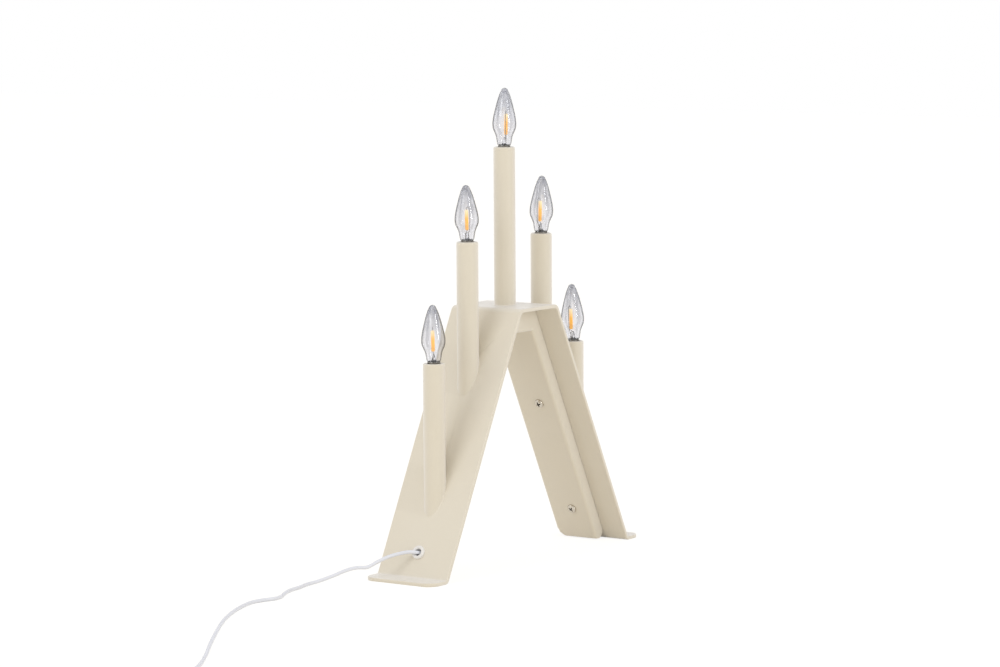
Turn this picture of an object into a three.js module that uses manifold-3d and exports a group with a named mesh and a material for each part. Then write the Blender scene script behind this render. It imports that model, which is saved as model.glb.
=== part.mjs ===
// An electric advent candlestick with five lights. One sheet-metal strip is bent into a frame like
// the letter lambda, with a flat top plate and a small foot on each leg. Five round tubes stand
// upright on it, and each holds a lamp socket with a candle bulb. A folded channel inside the legs
// hides the wires, and a thin cord leaves through a grommet near the foot of the left leg.
//
// Millimetres. X runs across the two legs, -Y is the front edge, +Z is up, and the origin lies on
// the table below the top plate's middle.

import * as THREE from 'three';
import { mergeVertices } from 'three/addons/utils/BufferGeometryUtils.js';
import Module from 'manifold-3d';

const wasm = await Module();
wasm.setup();

// Fits
const SEAT_GAP = 0.3;
const THREAD_GAP = 0.3;
const JOIN_DEPTH = 0.5;
const CUT_MARGIN = 20;

// Facets
const TUBE_SIDES = 20;
const SOCKET_SIDES = 16;
const BULB_SIDES = 12;
const SMALL_SIDES = 8;
const GROMMET_SIDES = 16;
const SCREW_SIDES = 12;
const BEND_STEPS = 3;
const CORD_SIDES = 8;
const COIL_SIDES = 6;
const WIRE_SIDES = 4;
const WIRE_STEP = 8;

// Frame: one strip, 3 mm thick
const STRIP_WIDTH = 70;
const STRIP_THICKNESS = 3;
const PLATE_HALF_LENGTH = 27;
const PLATE_TOP = 214;
const LEG_ANGLE_FROM_VERTICAL = THREE.MathUtils.degToRad(27);
const FOOT_REACH = 20.5;
const FOOT_CORNER_RADIUS = 11;
const FOOT_CORNER_STEPS = 6;
const PLATE_BEND_INNER_RADIUS = 4;
const FOOT_BEND_INNER_RADIUS = 2;
const WIRE_HOLE_RADIUS = 5;

// Candle tubes: a centre one, and two on each leg
const CANDLE_OFFSETS = [0, 54, 102];
const RIM_HEIGHTS = [346, 270.5, 174.5];
const TUBE_RADIUS = 9;
const TUBE_WALL = 1.2;
const RIM_THICKNESS = 1.5;
const RIM_EDGE_RADIUS = 1.4;
const RIM_CLEARANCE = 0.8;

// Screw-in bulb, measured from the tube's rim
const COLLAR_RADIUS = 5.2;
const COLLAR_WALL = 0.5;
const COLLAR_TOP = 1.7;
const COLLAR_HEIGHT = 2.7;
const CAP_THREAD_RADIUS = 4.75;
const CAP_THREAD_DEPTH = 0.4;
const CAP_THREAD_PITCH = 1.814;
const CAP_THREAD_TURNS = 5;
const CAP_END_LENGTH = 1.9;
const CAP_END_RADIUS = 3.25;
const CAP_BORE_RADIUS = 3.4;
const CAP_END_HOLE_RADIUS = 1;
const TIP_RADIUS = 1.6;
const TIP_HEIGHT = 1.2;
const TIP_END_RADIUS = 1;
const TIP_SIDE_HEIGHT = 0.5;
const GLASS_WALL = 0.8;
const GLASS_NECK_DEPTH = 2.1;
const GLASS_SHOULDER_RADIUS = 5.5;
const GLASS_SHOULDER_RISE = 0.3;
const GLASS_BULGE = [
  [6.3, 5.3], [6.95, 8.8], [8.3, 12.3], [9.45, 15], [9.95, 19],
  [9.55, 23.3], [8.7, 27.9], [7.2, 34], [5.6, 40], [4.05, 44.5],
];
const GLASS_STEPS = 10;
const GLASS_POINT_RADIUS = 2.85;
const GLASS_POINT_HEIGHT = 1.6;
const GLASS_POINT_ROUND = 0.4;
const GLASS_TOP = 48.8;
const STEM_RADIUS = 1.6;
const STEM_TOP = 8;
const STEM_POINT = 1;
const STEM_FLARE = 1;
const STEM_FLARE_END = 4;
const FILAMENT_RADIUS = 1.4;
const FILAMENT_BOTTOM = 10;
const FILAMENT_TOP = 27.5;
const STAY_RADIUS = 0.4;
const STAY_TOP = 29.5;
const STAY_BOTTOM = -9;

// Lamp socket inside each tube
const SHELL_WALL = 0.4;
const SHELL_HEADROOM = 1.6;
const TAG_WIDTH = 2;
const TAG_THICKNESS = 0.32;
const TAG_LENGTH = 4;
const CONTACT_RADIUS = 2.2;
const CONTACT_THICKNESS = 0.6;
const CONTACT_STEM_RADIUS = 0.8;
const SOCKET_FLOOR = 3;
const SOCKET_SKIRT = 6;
const SOCKET_SKIRT_WALL = 0.8;

// Inner cover: a folded channel of 1 mm sheet that follows the frame's inside
const COVER_SHEET = 1;
const COVER_LEG_HEIGHT = 11.5;
const COVER_PLATE_HEIGHT = 20.5;
const COVER_FRONT = -12.5;
const COVER_BACK = 27.5;
const COVER_FLOOR_GAP = 1;
const COVER_CORNER_RADIUS = 6;

// Cover screws: two on each leg, in threaded bosses welded to the frame
const SCREW_FACE_HEIGHTS = [131.3, 34.6];
const SCREW_Y = 4;
const SCREW_RADIUS = 1.9;
const SCREW_LENGTH = 8;
const SCREW_HEAD_RADIUS = 4;
const SCREW_HEAD_HEIGHT = 2.4;
const SCREW_CROWN = [[1, 0.5], [0.88, 0.82], [0.55, 1], [0, 1]];
const SCREW_POINT_RADIUS = 1.1;
const SCREW_POINT_LENGTH = 0.7;
const RECESS_LENGTH = 4.4;
const RECESS_WIDTH = 1;
const RECESS_DEPTH = 1.4;
const BOSS_RADIUS = 4;
const BORE_END_CLEARANCE = 0.7;

// Grommet and terminal block on the left leg
const GROMMET_FACE_HEIGHT = 21.6;
const GROMMET_BORE_RADIUS = 3;
const GROMMET_MOUTH_RADIUS = 4;
const GROMMET_FLANGE_RADIUS = 5.75;
const GROMMET_FLANGE = 1.8;
const GROMMET_INNER_FLANGE = 1.2;
const GROMMET_NECK_RADIUS = 4.2;
const GROMMET_EDGE = 0.6;
const GROMMET_FLARE = 1;
const BLOCK_SIZE = [14, 12, 6];

// Wires inside
const WIRE_RADIUS = 0.8;
const WIRE_OFFSET = 3;
const WIRE_DEPTH = 8.5;
const WIRE_LANE = 8;
const RETURN_LANE = 15;
const BLOCK_WIRE_LANE = -4;
const WIRE_BELOW_SOCKET = 12;
const WIRE_ABOVE_FRAME = 10;
const WIRE_THROUGH_FRAME = 1.3 * STRIP_THICKNESS;
const LOOP_DROP = 13;
const LOOP_DEPTH = 17.5;
const LOOP_RETURN = 4;
const WIRE_RISE_DROP = 21;
const LANE_CHANGE_DROP = 34;
const WIRE_PLATE_DROP = 19;
const PLATE_CROSSING = [[19, 6, 12], [9, 2, 10]];
const RETURN_CROSSING = [15, 12];
const RETURN_DESCENT = [14, 4];
const RETURN_SIDESTEPS = [2, 3];

// Cord, coil and plug
const CORD_RADIUS = 1.5;
const CORD_ON_FLOOR = 1.52;
const CORD_SLANT = { down: 0.54, across: 0.84 };
const COIL_CENTRE = new THREE.Vector2(-652, -86);
const COIL_START_ANGLE = THREE.MathUtils.degToRad(270);
const COIL_OUTER_RADIUS = 22.25;
const COIL_PITCH = 3.5;
const COIL_TURNS = 11;
const COIL_TURNS_PER_LAYER = 3;
const COIL_STEPS_PER_TURN = 22;
const CORD_STEPS = 80;
const CORD_END_STEPS = 7;
const PLUG_TAIL_PLACE = new THREE.Vector2(-648, -132);
const PLUG_HEADING = 0;
const PLUG_HEIGHT = 13.7;
const PLUG_LENGTH = 36;
const PLUG_FRONT_WIDTH = 26;
const PLUG_WIDTH = 35.3;
const PLUG_REAR_WIDTH = 10;
const PLUG_REAR_TAPER = 21.6;
const PLUG_FRONT_TAPER = 6;
const PLUG_CORNER_RADII = [0, 4, 3, 2];
const PLUG_TAIL_LENGTH = 14;
const PLUG_TAIL_RADIUS = 3.2;
const PIN_RADIUS = 2;
const PIN_LENGTH = 19;
const PIN_SPACING = 19;
const PIN_SEAT_DEPTH = 5;
const PIN_POINT_LENGTH = 1.2;
const PIN_POINT_RADIUS = 1;

// Finishes
const finishes = {
  cream: { color: 0xdcd2be, roughness: 0.55, metalness: 0 },
  steel: { color: 0xb9bbbd, roughness: 0.3, metalness: 1 },
  brass: { color: 0xc9a75a, roughness: 0.35, metalness: 1 },
  solder: { color: 0xa9abad, roughness: 0.5, metalness: 1 },
  glass: { color: 0xdfe3ea, roughness: 0.05, metalness: 0 },
  filament: { color: 0xf0a040, roughness: 0.5, metalness: 0 },
  black: { color: 0x2a2a2a, roughness: 0.5, metalness: 0 },
  white: { color: 0xeeeef0, roughness: 0.4, metalness: 0 },
};

const candlestick = new THREE.Group();

function finish(name) {
  return new THREE.MeshStandardMaterial(finishes[name]);
}

function addMesh(parent, name, geometry, finishName) {
  const mesh = new THREE.Mesh(geometry, finish(finishName));
  mesh.name = name;
  parent.add(mesh);
  return mesh;
}

// Closed solids for cutting and joining, and back again
function solidOf(geometry) {
  const plain = geometry.clone();
  plain.deleteAttribute('normal');
  plain.deleteAttribute('uv');
  const merged = mergeVertices(plain, 1e-4);
  return new wasm.Manifold(new wasm.Mesh({
    numProp: 3,
    vertProperties: new Float32Array(merged.attributes.position.array),
    triVerts: new Uint32Array(merged.index.array),
  }));
}

function geometryOf(solid) {
  const { vertProperties, triVerts } = solid.getMesh();
  const geometry = new THREE.BufferGeometry();
  geometry.setAttribute('position', new THREE.BufferAttribute(vertProperties, 3));
  geometry.setIndex(new THREE.BufferAttribute(triVerts, 1));
  geometry.computeVertexNormals();
  return geometry;
}

function cut(geometry, ...cutters) {
  const rest = cutters.reduce((solid, cutter) => solid.subtract(solidOf(cutter)), solidOf(geometry));
  return geometryOf(rest);
}

// Basic shapes: a profile of [radius, height] points turned about the Z axis, and a rod along it
function turned(profile, sides) {
  const points = profile.map(([radius, height]) => new THREE.Vector2(radius, height));
  return new THREE.LatheGeometry(points, sides).rotateX(Math.PI / 2);
}

function turnedRing(profile, sides) {
  return turned([...profile, profile[0]], sides);
}

function rod(radius, bottom, top, sides) {
  return turned([[0, bottom], [radius, bottom], [radius, top], [0, top]], sides);
}

function block(sizeX, sizeY, sizeZ) {
  return new THREE.BoxGeometry(sizeX, sizeY, sizeZ);
}

// A prism with its outline in the XZ plane, from yFront to yBack
function prismAlongY(outline, yFront, yBack) {
  const depth = yBack - yFront;
  const geometry = new THREE.ExtrudeGeometry(new THREE.Shape(outline), { depth, bevelEnabled: false });
  return geometry.rotateX(Math.PI / 2).translate(0, yBack, 0);
}

function tubeAlong(points, radius, sides, steps) {
  const section = new THREE.Shape();
  for (let side = 0; side < sides; side++) {
    const angle = (side * 2 * Math.PI) / sides;
    const corner = [radius * Math.cos(angle), radius * Math.sin(angle)];
    if (side === 0) section.moveTo(...corner);
    else section.lineTo(...corner);
  }
  const extrudePath = new THREE.CatmullRomCurve3(points, false, 'centripetal');
  return new THREE.ExtrudeGeometry(section, { steps, extrudePath, bevelEnabled: false });
}

// Moves each stretch of a path sideways, to the right of its direction, and meets them at mitres
function offsetPath(points, distances) {
  const normals = points.slice(1).map((point, i) => {
    const along = point.clone().sub(points[i]).normalize();
    return new THREE.Vector2(along.y, -along.x);
  });
  return points.map((point, i) => {
    const before = Math.max(i - 1, 0);
    const after = Math.min(i, normals.length - 1);
    const [a, b] = [normals[before], normals[after]];
    const cross = a.x * b.y - a.y * b.x;
    if (Math.abs(cross) < 1e-9) return point.clone().addScaledVector(a, distances[before]);
    const x = (distances[before] * b.y - distances[after] * a.y) / cross;
    const y = (a.x * distances[after] - b.x * distances[before]) / cross;
    return new THREE.Vector2(point.x + x, point.y + y);
  });
}

// Rounds the corners of a path with arcs; a radius of 0 keeps the corner
function roundCorners(points, radii, closed = false, steps = BEND_STEPS) {
  const count = points.length;
  return points.flatMap((corner, i) => {
    const radius = radii[i];
    if (!radius || (!closed && (i === 0 || i === count - 1))) return [corner.clone()];
    const toBefore = points[(i + count - 1) % count].clone().sub(corner).normalize();
    const toAfter = points[(i + 1) % count].clone().sub(corner).normalize();
    const halfAngle = Math.acos(THREE.MathUtils.clamp(toBefore.dot(toAfter), -1, 1)) / 2;
    const middle = toBefore.clone().add(toAfter).normalize();
    const centre = corner.clone().addScaledVector(middle, radius / Math.sin(halfAngle));
    const start = corner.clone().addScaledVector(toBefore, radius / Math.tan(halfAngle)).sub(centre);
    const end = corner.clone().addScaledVector(toAfter, radius / Math.tan(halfAngle)).sub(centre);
    const turn = Math.atan2(start.x * end.y - start.y * end.x, start.dot(end));
    return Array.from({ length: steps + 1 }, (_, step) => (
      start.clone().rotateAround(new THREE.Vector2(), (turn * step) / steps).add(centre)
    ));
  });
}

// The frame's outer face
const LEG_SLOPE = Math.tan(LEG_ANGLE_FROM_VERTICAL);
const LEG_SINE = Math.sin(LEG_ANGLE_FROM_VERTICAL);
const LEG_COSINE = Math.cos(LEG_ANGLE_FROM_VERTICAL);

function legOuterX(height) {
  return PLATE_HALF_LENGTH + LEG_SLOPE * (PLATE_TOP - height);
}

function faceHeight(x) {
  const beyondPlate = Math.max(Math.abs(x) - PLATE_HALF_LENGTH, 0);
  return PLATE_TOP - beyondPlate / LEG_SLOPE;
}

const footCornerX = legOuterX(STRIP_THICKNESS);
const footEnd = footCornerX + FOOT_REACH;
const outerFace = [
  new THREE.Vector2(-footEnd, STRIP_THICKNESS),
  new THREE.Vector2(-footCornerX, STRIP_THICKNESS),
  new THREE.Vector2(-PLATE_HALF_LENGTH, PLATE_TOP),
  new THREE.Vector2(PLATE_HALF_LENGTH, PLATE_TOP),
  new THREE.Vector2(footCornerX, STRIP_THICKNESS),
  new THREE.Vector2(footEnd, STRIP_THICKNESS),
];

// Places on a leg: side is -1 for the left leg and 1 for the right one, height is where the leg's
// outer face has the point's foot, and depth goes inwards from that face
function legPoint(side, height, depth, y) {
  const x = side * (legOuterX(height) - depth * LEG_COSINE);
  return new THREE.Vector3(x, y, height - depth * LEG_SINE);
}

// A group on the leg's outer face with its own +Z pointing out of the leg
function legGroup(side, height, y) {
  const group = new THREE.Group();
  group.position.copy(legPoint(side, height, 0, y));
  group.rotation.y = side * (Math.PI / 2 - LEG_ANGLE_FROM_VERTICAL);
  group.updateMatrix();
  return group;
}

function onLeg(geometry, side, height, y) {
  return geometry.applyMatrix4(legGroup(side, height, y).matrix);
}

const legSides = [-1, 1];
const coverWebDepth = STRIP_THICKNESS + COVER_LEG_HEIGHT;
const coverPlateDepth = STRIP_THICKNESS + COVER_PLATE_HEIGHT;
const screwPlaces = legSides.flatMap((side) => SCREW_FACE_HEIGHTS.map((height) => ({ side, height })));

const candles = [
  { place: 2, side: -1, wireSide: new THREE.Vector2(0, -1) },
  { place: 1, side: -1, wireSide: new THREE.Vector2(0, 1) },
  { place: 0, side: 1, wireSide: new THREE.Vector2(1, 0) },
  { place: 1, side: 1, wireSide: new THREE.Vector2(0, -1) },
  { place: 2, side: 1, wireSide: new THREE.Vector2(0, 1) },
].map(({ place, side, wireSide }) => {
  const x = side * CANDLE_OFFSETS[place];
  return { x, rim: RIM_HEIGHTS[place], foot: faceHeight(x), wireSide };
});

// The bent strip with its bosses, its wire holes and the hole for the grommet
function frameGeometry() {
  const plateOuterRadius = PLATE_BEND_INNER_RADIUS + STRIP_THICKNESS;
  const footOuterRadius = FOOT_BEND_INNER_RADIUS + STRIP_THICKNESS;
  const innerFace = offsetPath(outerFace, Array(5).fill(STRIP_THICKNESS));
  const upper = roundCorners(
    outerFace, [0, FOOT_BEND_INNER_RADIUS, plateOuterRadius, plateOuterRadius, FOOT_BEND_INNER_RADIUS, 0],
  );
  const lower = roundCorners(
    innerFace, [0, footOuterRadius, PLATE_BEND_INNER_RADIUS, PLATE_BEND_INNER_RADIUS, footOuterRadius, 0],
  );
  const strip = prismAlongY([...upper, ...lower.reverse()], -STRIP_WIDTH / 2, STRIP_WIDTH / 2);
  let solid = solidOf(strip).intersect(solidOf(footprint()));
  for (const { side, height } of screwPlaces) solid = solid.add(solidOf(boss(side, height)));
  for (const { side, height } of screwPlaces) solid = solid.subtract(solidOf(bossBore(side, height)));
  for (const candle of candles) solid = solid.subtract(solidOf(wireHole(candle)));
  const holeBottom = -STRIP_THICKNESS - JOIN_DEPTH;
  const grommetHole = rod(GROMMET_NECK_RADIUS + SEAT_GAP, holeBottom, JOIN_DEPTH, GROMMET_SIDES);
  return geometryOf(solid.subtract(solidOf(onLeg(grommetHole, -1, GROMMET_FACE_HEIGHT, 0))));
}

// The strip seen from above, with the feet's rounded corners
function footprint() {
  const halfWidth = STRIP_WIDTH / 2;
  const corners = [[-1, -1], [1, -1], [1, 1], [-1, 1]].map(([x, y]) => (
    new THREE.Vector2(x * footEnd, y * halfWidth)
  ));
  const radii = Array(4).fill(FOOT_CORNER_RADIUS);
  const outline = new THREE.Shape(roundCorners(corners, radii, true, FOOT_CORNER_STEPS));
  const depth = PLATE_TOP + 2 * CUT_MARGIN;
  return new THREE.ExtrudeGeometry(outline, { depth, bevelEnabled: false }).translate(0, 0, -CUT_MARGIN);
}

const bossEnd = coverWebDepth - COVER_SHEET - SEAT_GAP;
const screwSeat = coverWebDepth + SEAT_GAP;

function boss(side, height) {
  return onLeg(rod(BOSS_RADIUS, -bossEnd, JOIN_DEPTH - STRIP_THICKNESS, SCREW_SIDES), side, height, SCREW_Y);
}

function bossBore(side, height) {
  const boreEnd = screwSeat - SCREW_LENGTH - BORE_END_CLEARANCE;
  const bore = rod(SCREW_RADIUS + SEAT_GAP, -bossEnd - JOIN_DEPTH, -boreEnd, SCREW_SIDES);
  return onLeg(bore, side, height, SCREW_Y);
}

function wireHole({ x, foot }) {
  const slant = x === 0 ? 0 : (WIRE_HOLE_RADIUS + STRIP_THICKNESS) / LEG_SINE;
  const hole = rod(WIRE_HOLE_RADIUS, -STRIP_THICKNESS - JOIN_DEPTH - slant, JOIN_DEPTH + slant, SOCKET_SIDES);
  return hole.translate(x, 0, foot);
}

// The wiring channel: web, two flanges, and rounded lower corners beside the frame
function innerCoverGeometry() {
  const spine = [
    new THREE.Vector2(-legOuterX(-CUT_MARGIN), -CUT_MARGIN),
    outerFace[2],
    outerFace[3],
    new THREE.Vector2(legOuterX(-CUT_MARGIN), -CUT_MARGIN),
  ];
  const nearFrame = STRIP_THICKNESS + SEAT_GAP;
  const webDepths = [coverWebDepth, coverPlateDepth, coverWebDepth];
  const web = offsetPath(spine, webDepths);
  const webInside = offsetPath(spine, webDepths.map((depth) => depth - COVER_SHEET));
  const frameSide = offsetPath(spine, Array(3).fill(nearFrame));
  const outline = [
    lowerEnd(web[0], web[1]), web[1], web[2], lowerEnd(web[3], web[2]),
    lowerEnd(frameSide[3], frameSide[2]), frameSide[2], frameSide[1], lowerEnd(frameSide[0], frameSide[1]),
  ];
  const bend = PLATE_BEND_INNER_RADIUS + SEAT_GAP;
  const radii = [0, 0, 0, 0, COVER_CORNER_RADIUS, bend, bend, COVER_CORNER_RADIUS];
  const outside = prismAlongY(roundCorners(outline, radii, true), COVER_FRONT, COVER_BACK);
  const farSide = webInside[3].x + CUT_MARGIN;
  const above = PLATE_TOP + CUT_MARGIN;
  const room = [...webInside, new THREE.Vector2(farSide, above), new THREE.Vector2(-farSide, above)];
  const inside = prismAlongY(room, COVER_FRONT + COVER_SHEET, COVER_BACK - COVER_SHEET);
  const holeTop = COVER_SHEET + JOIN_DEPTH - coverWebDepth;
  const holes = screwPlaces.map(({ side, height }) => onLeg(
    rod(SCREW_RADIUS + SEAT_GAP, -coverWebDepth - JOIN_DEPTH, holeTop, SCREW_SIDES), side, height, SCREW_Y,
  ));
  return cut(outside, inside, ...holes);
}

function lowerEnd(from, to) {
  return from.clone().lerp(to, (COVER_FLOOR_GAP - from.y) / (to.y - from.y));
}

// Pan-head screw with a cross recess: it points up into the boss from under the web
function screwGeometry() {
  const crown = SCREW_CROWN.map(([across, up]) => [across * SCREW_HEAD_RADIUS, up * SCREW_HEAD_HEIGHT]);
  const body = turned([
    [0, -SCREW_LENGTH], [SCREW_POINT_RADIUS, -SCREW_LENGTH],
    [SCREW_RADIUS, SCREW_POINT_LENGTH - SCREW_LENGTH], [SCREW_RADIUS, 0], [SCREW_HEAD_RADIUS, 0], ...crown,
  ], SCREW_SIDES);
  const recessHeight = SCREW_HEAD_HEIGHT - RECESS_DEPTH / 2 + JOIN_DEPTH / 2;
  const slots = [[RECESS_LENGTH, RECESS_WIDTH], [RECESS_WIDTH, RECESS_LENGTH]].map(([sizeX, sizeY]) => (
    block(sizeX, sizeY, RECESS_DEPTH + JOIN_DEPTH).translate(0, 0, recessHeight)
  ));
  return cut(body, ...slots);
}

function addCoverScrews() {
  screwPlaces.forEach(({ side, height }, i) => {
    const place = legGroup(side, height, SCREW_Y);
    const screw = addMesh(place, `cover_screw_${i + 1}`, screwGeometry(), 'steel');
    screw.position.z = -screwSeat;
    screw.rotation.x = Math.PI;
    candlestick.add(place);
  });
}

// Socket and bulb heights, all from the tube's rim
const tubeBore = TUBE_RADIUS - TUBE_WALL;
const socketRadius = tubeBore - SEAT_GAP;
const shellBore = CAP_THREAD_RADIUS + THREAD_GAP;
const shellRadius = shellBore + SHELL_WALL;
const collarBottom = COLLAR_TOP - COLLAR_HEIGHT;
const capBottom = collarBottom - CAP_THREAD_PITCH * CAP_THREAD_TURNS - CAP_END_LENGTH;
const tipTop = capBottom - SEAT_GAP;
const contactTop = tipTop - TIP_HEIGHT - SEAT_GAP;
const socketFloorTop = contactTop - CONTACT_THICKNESS - SEAT_GAP;
const socketFloorBottom = socketFloorTop - SOCKET_FLOOR;
const socketTop = -RIM_THICKNESS - SEAT_GAP;
const tagRadius = shellRadius - SHELL_WALL / 2;
const tagEnd = socketFloorBottom - TAG_LENGTH;

// The tube is open at its foot, where it is cut to the frame's outer face
function tubeGeometry({ x, rim, foot }) {
  const lowest = x === 0 ? 0 : TUBE_RADIUS / LEG_SLOPE + JOIN_DEPTH;
  const bottom = foot - rim - lowest - SEAT_GAP - JOIN_DEPTH;
  const opening = COLLAR_RADIUS + RIM_CLEARANCE;
  const edge = [0, 45, 90].map((degrees) => {
    const angle = THREE.MathUtils.degToRad(degrees);
    return [TUBE_RADIUS - RIM_EDGE_RADIUS * (1 - Math.cos(angle)), RIM_EDGE_RADIUS * (Math.sin(angle) - 1)];
  });
  const tube = turnedRing([
    [tubeBore, bottom], [TUBE_RADIUS, bottom], ...edge,
    [opening, 0], [opening, -RIM_THICKNESS], [tubeBore, -RIM_THICKNESS],
  ], TUBE_SIDES);
  const face = offsetPath(outerFace, Array(5).fill(-SEAT_GAP));
  const below = [new THREE.Vector2(-footEnd, -footEnd), ...face, new THREE.Vector2(footEnd, -footEnd)];
  const underneath = prismAlongY(below, -STRIP_WIDTH, STRIP_WIDTH).translate(-x, 0, -rim);
  return cut(tube, underneath);
}

function socketGeometry(wireSide) {
  const stemHole = CONTACT_STEM_RADIUS + SEAT_GAP;
  const bore = shellRadius + SEAT_GAP;
  const skirtInside = socketRadius - SOCKET_SKIRT_WALL;
  const skirtBottom = socketFloorBottom - SOCKET_SKIRT;
  const body = turnedRing([
    [stemHole, socketFloorBottom], [skirtInside, socketFloorBottom], [skirtInside, skirtBottom],
    [socketRadius, skirtBottom], [socketRadius, socketTop], [bore, socketTop],
    [bore, socketFloorTop], [stemHole, socketFloorTop],
  ], SOCKET_SIDES);
  const slot = block(SHELL_WALL + 2 * SEAT_GAP, TAG_WIDTH + 2 * SEAT_GAP, SOCKET_FLOOR + 2 * JOIN_DEPTH);
  slot.translate(tagRadius, 0, (socketFloorTop + socketFloorBottom) / 2);
  return cut(body, slot.rotateZ(wireSide.angle()));
}

// Brass sleeve that the bulb screws into, with a solder tag through the socket's floor
function screwShellGeometry(wireSide) {
  const bottom = socketFloorTop + SEAT_GAP;
  const top = collarBottom - SHELL_HEADROOM;
  const sleeve = turnedRing([
    [shellBore, bottom], [shellRadius, bottom], [shellRadius, top], [shellBore, top],
  ], SOCKET_SIDES);
  const tag = block(TAG_THICKNESS, TAG_WIDTH, bottom + JOIN_DEPTH - tagEnd);
  tag.translate(tagRadius, 0, (bottom + JOIN_DEPTH + tagEnd) / 2).rotateZ(wireSide.angle());
  return geometryOf(solidOf(sleeve).add(solidOf(tag)));
}

function centreContactGeometry() {
  const buttonBottom = contactTop - CONTACT_THICKNESS;
  return turned([
    [0, tagEnd], [CONTACT_STEM_RADIUS, tagEnd], [CONTACT_STEM_RADIUS, buttonBottom],
    [CONTACT_RADIUS, buttonBottom], [CONTACT_RADIUS, contactTop], [0, contactTop],
  ], SMALL_SIDES);
}

// Bulb cap: thread rings below a smooth collar, a bore for the lead-in wires and a small end hole
function capGeometry() {
  const root = CAP_THREAD_RADIUS - CAP_THREAD_DEPTH;
  const thread = Array.from({ length: CAP_THREAD_TURNS }, (_, i) => {
    const crest = collarBottom - CAP_THREAD_PITCH * (CAP_THREAD_TURNS - i - 0.5);
    return [[root, crest - CAP_THREAD_PITCH / 2], [CAP_THREAD_RADIUS, crest]];
  }).flat();
  const collarBore = COLLAR_RADIUS - COLLAR_WALL;
  const ledge = COLLAR_TOP - GLASS_NECK_DEPTH - SEAT_GAP;
  const boreBottom = capBottom + CAP_END_LENGTH / 2;
  return turnedRing([
    [CAP_END_HOLE_RADIUS, capBottom], [CAP_END_RADIUS, capBottom], ...thread, [root, collarBottom],
    [COLLAR_RADIUS, collarBottom], [COLLAR_RADIUS, COLLAR_TOP], [collarBore, COLLAR_TOP], [collarBore, ledge],
    [CAP_BORE_RADIUS, ledge], [CAP_BORE_RADIUS, boreBottom], [CAP_END_HOLE_RADIUS, boreBottom],
  ], BULB_SIDES);
}

function tipGeometry() {
  return turned([
    [0, tipTop - TIP_HEIGHT], [TIP_END_RADIUS, tipTop - TIP_HEIGHT], [TIP_RADIUS, tipTop - TIP_SIDE_HEIGHT],
    [TIP_RADIUS, tipTop], [0, tipTop],
  ], SMALL_SIDES);
}

// Candle-shaped glass, open at its neck and rounded at its point
const neckRadius = COLLAR_RADIUS - COLLAR_WALL - SEAT_GAP;
const neckBottom = COLLAR_TOP - GLASS_NECK_DEPTH;

function glassGeometry() {
  const shoulder = COLLAR_TOP + SEAT_GAP;
  const pointBottom = GLASS_TOP - GLASS_POINT_HEIGHT;
  const bulge = new THREE.SplineCurve([
    new THREE.Vector2(GLASS_SHOULDER_RADIUS, shoulder + GLASS_SHOULDER_RISE),
    ...GLASS_BULGE.map(([radius, height]) => new THREE.Vector2(radius, height)),
    new THREE.Vector2(GLASS_POINT_RADIUS, pointBottom),
  ]);
  const outside = bulge.getPoints(GLASS_STEPS).map(({ x, y }) => [x, y]);
  const everySecond = outside.filter((_, i) => i % 2 === 0).slice(0, -1);
  const inside = everySecond.map(([x, y]) => [x - GLASS_WALL, y]).reverse();
  const neckInside = neckRadius - GLASS_WALL;
  return turned([
    [0, pointBottom - GLASS_WALL], [GLASS_POINT_RADIUS - GLASS_WALL, pointBottom - GLASS_WALL], ...inside,
    [neckInside, shoulder], [neckInside, neckBottom], [neckRadius, neckBottom], [neckRadius, shoulder],
    ...outside, [GLASS_POINT_RADIUS / 2, GLASS_TOP - GLASS_POINT_ROUND], [0, GLASS_TOP],
  ], BULB_SIDES);
}

// Glass stem with the filament rod and its stay wire, round about the bulb's axis
function filamentGeometry() {
  const flare = neckRadius - GLASS_WALL - SEAT_GAP;
  return turned([
    [0, STAY_BOTTOM], [STAY_RADIUS, STAY_BOTTOM], [STAY_RADIUS, neckBottom], [flare, neckBottom],
    [flare, neckBottom + STEM_FLARE], [STEM_RADIUS, neckBottom + STEM_FLARE_END], [STEM_RADIUS, STEM_TOP],
    [STAY_RADIUS, STEM_TOP + STEM_POINT], [STAY_RADIUS, FILAMENT_BOTTOM], [FILAMENT_RADIUS, FILAMENT_BOTTOM],
    [FILAMENT_RADIUS, FILAMENT_TOP], [STAY_RADIUS, FILAMENT_TOP], [STAY_RADIUS, STAY_TOP], [0, STAY_TOP],
  ], SMALL_SIDES);
}

function addCandles() {
  candles.forEach((candle, i) => {
    const number = i + 1;
    const place = new THREE.Group();
    place.position.set(candle.x, 0, candle.rim);
    addMesh(place, `candle_tube_${number}`, tubeGeometry(candle), 'cream');
    addMesh(place, `lamp_socket_${number}`, socketGeometry(candle.wireSide), 'black');
    addMesh(place, `screw_shell_${number}`, screwShellGeometry(candle.wireSide), 'brass');
    addMesh(place, `centre_contact_${number}`, centreContactGeometry(), 'brass');
    addMesh(place, `bulb_cap_${number}`, capGeometry(), 'steel');
    addMesh(place, `bulb_tip_${number}`, tipGeometry(), 'solder');
    addMesh(place, `bulb_glass_${number}`, glassGeometry(), 'glass');
    addMesh(place, `bulb_filament_${number}`, filamentGeometry(), 'filament');
    candlestick.add(place);
  });
}

// Grommet through the left leg, flanged on both faces and flared at both mouths
const grommetTop = GROMMET_FLANGE + SEAT_GAP;
const grommetBottom = -STRIP_THICKNESS - SEAT_GAP - GROMMET_INNER_FLANGE;

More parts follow.
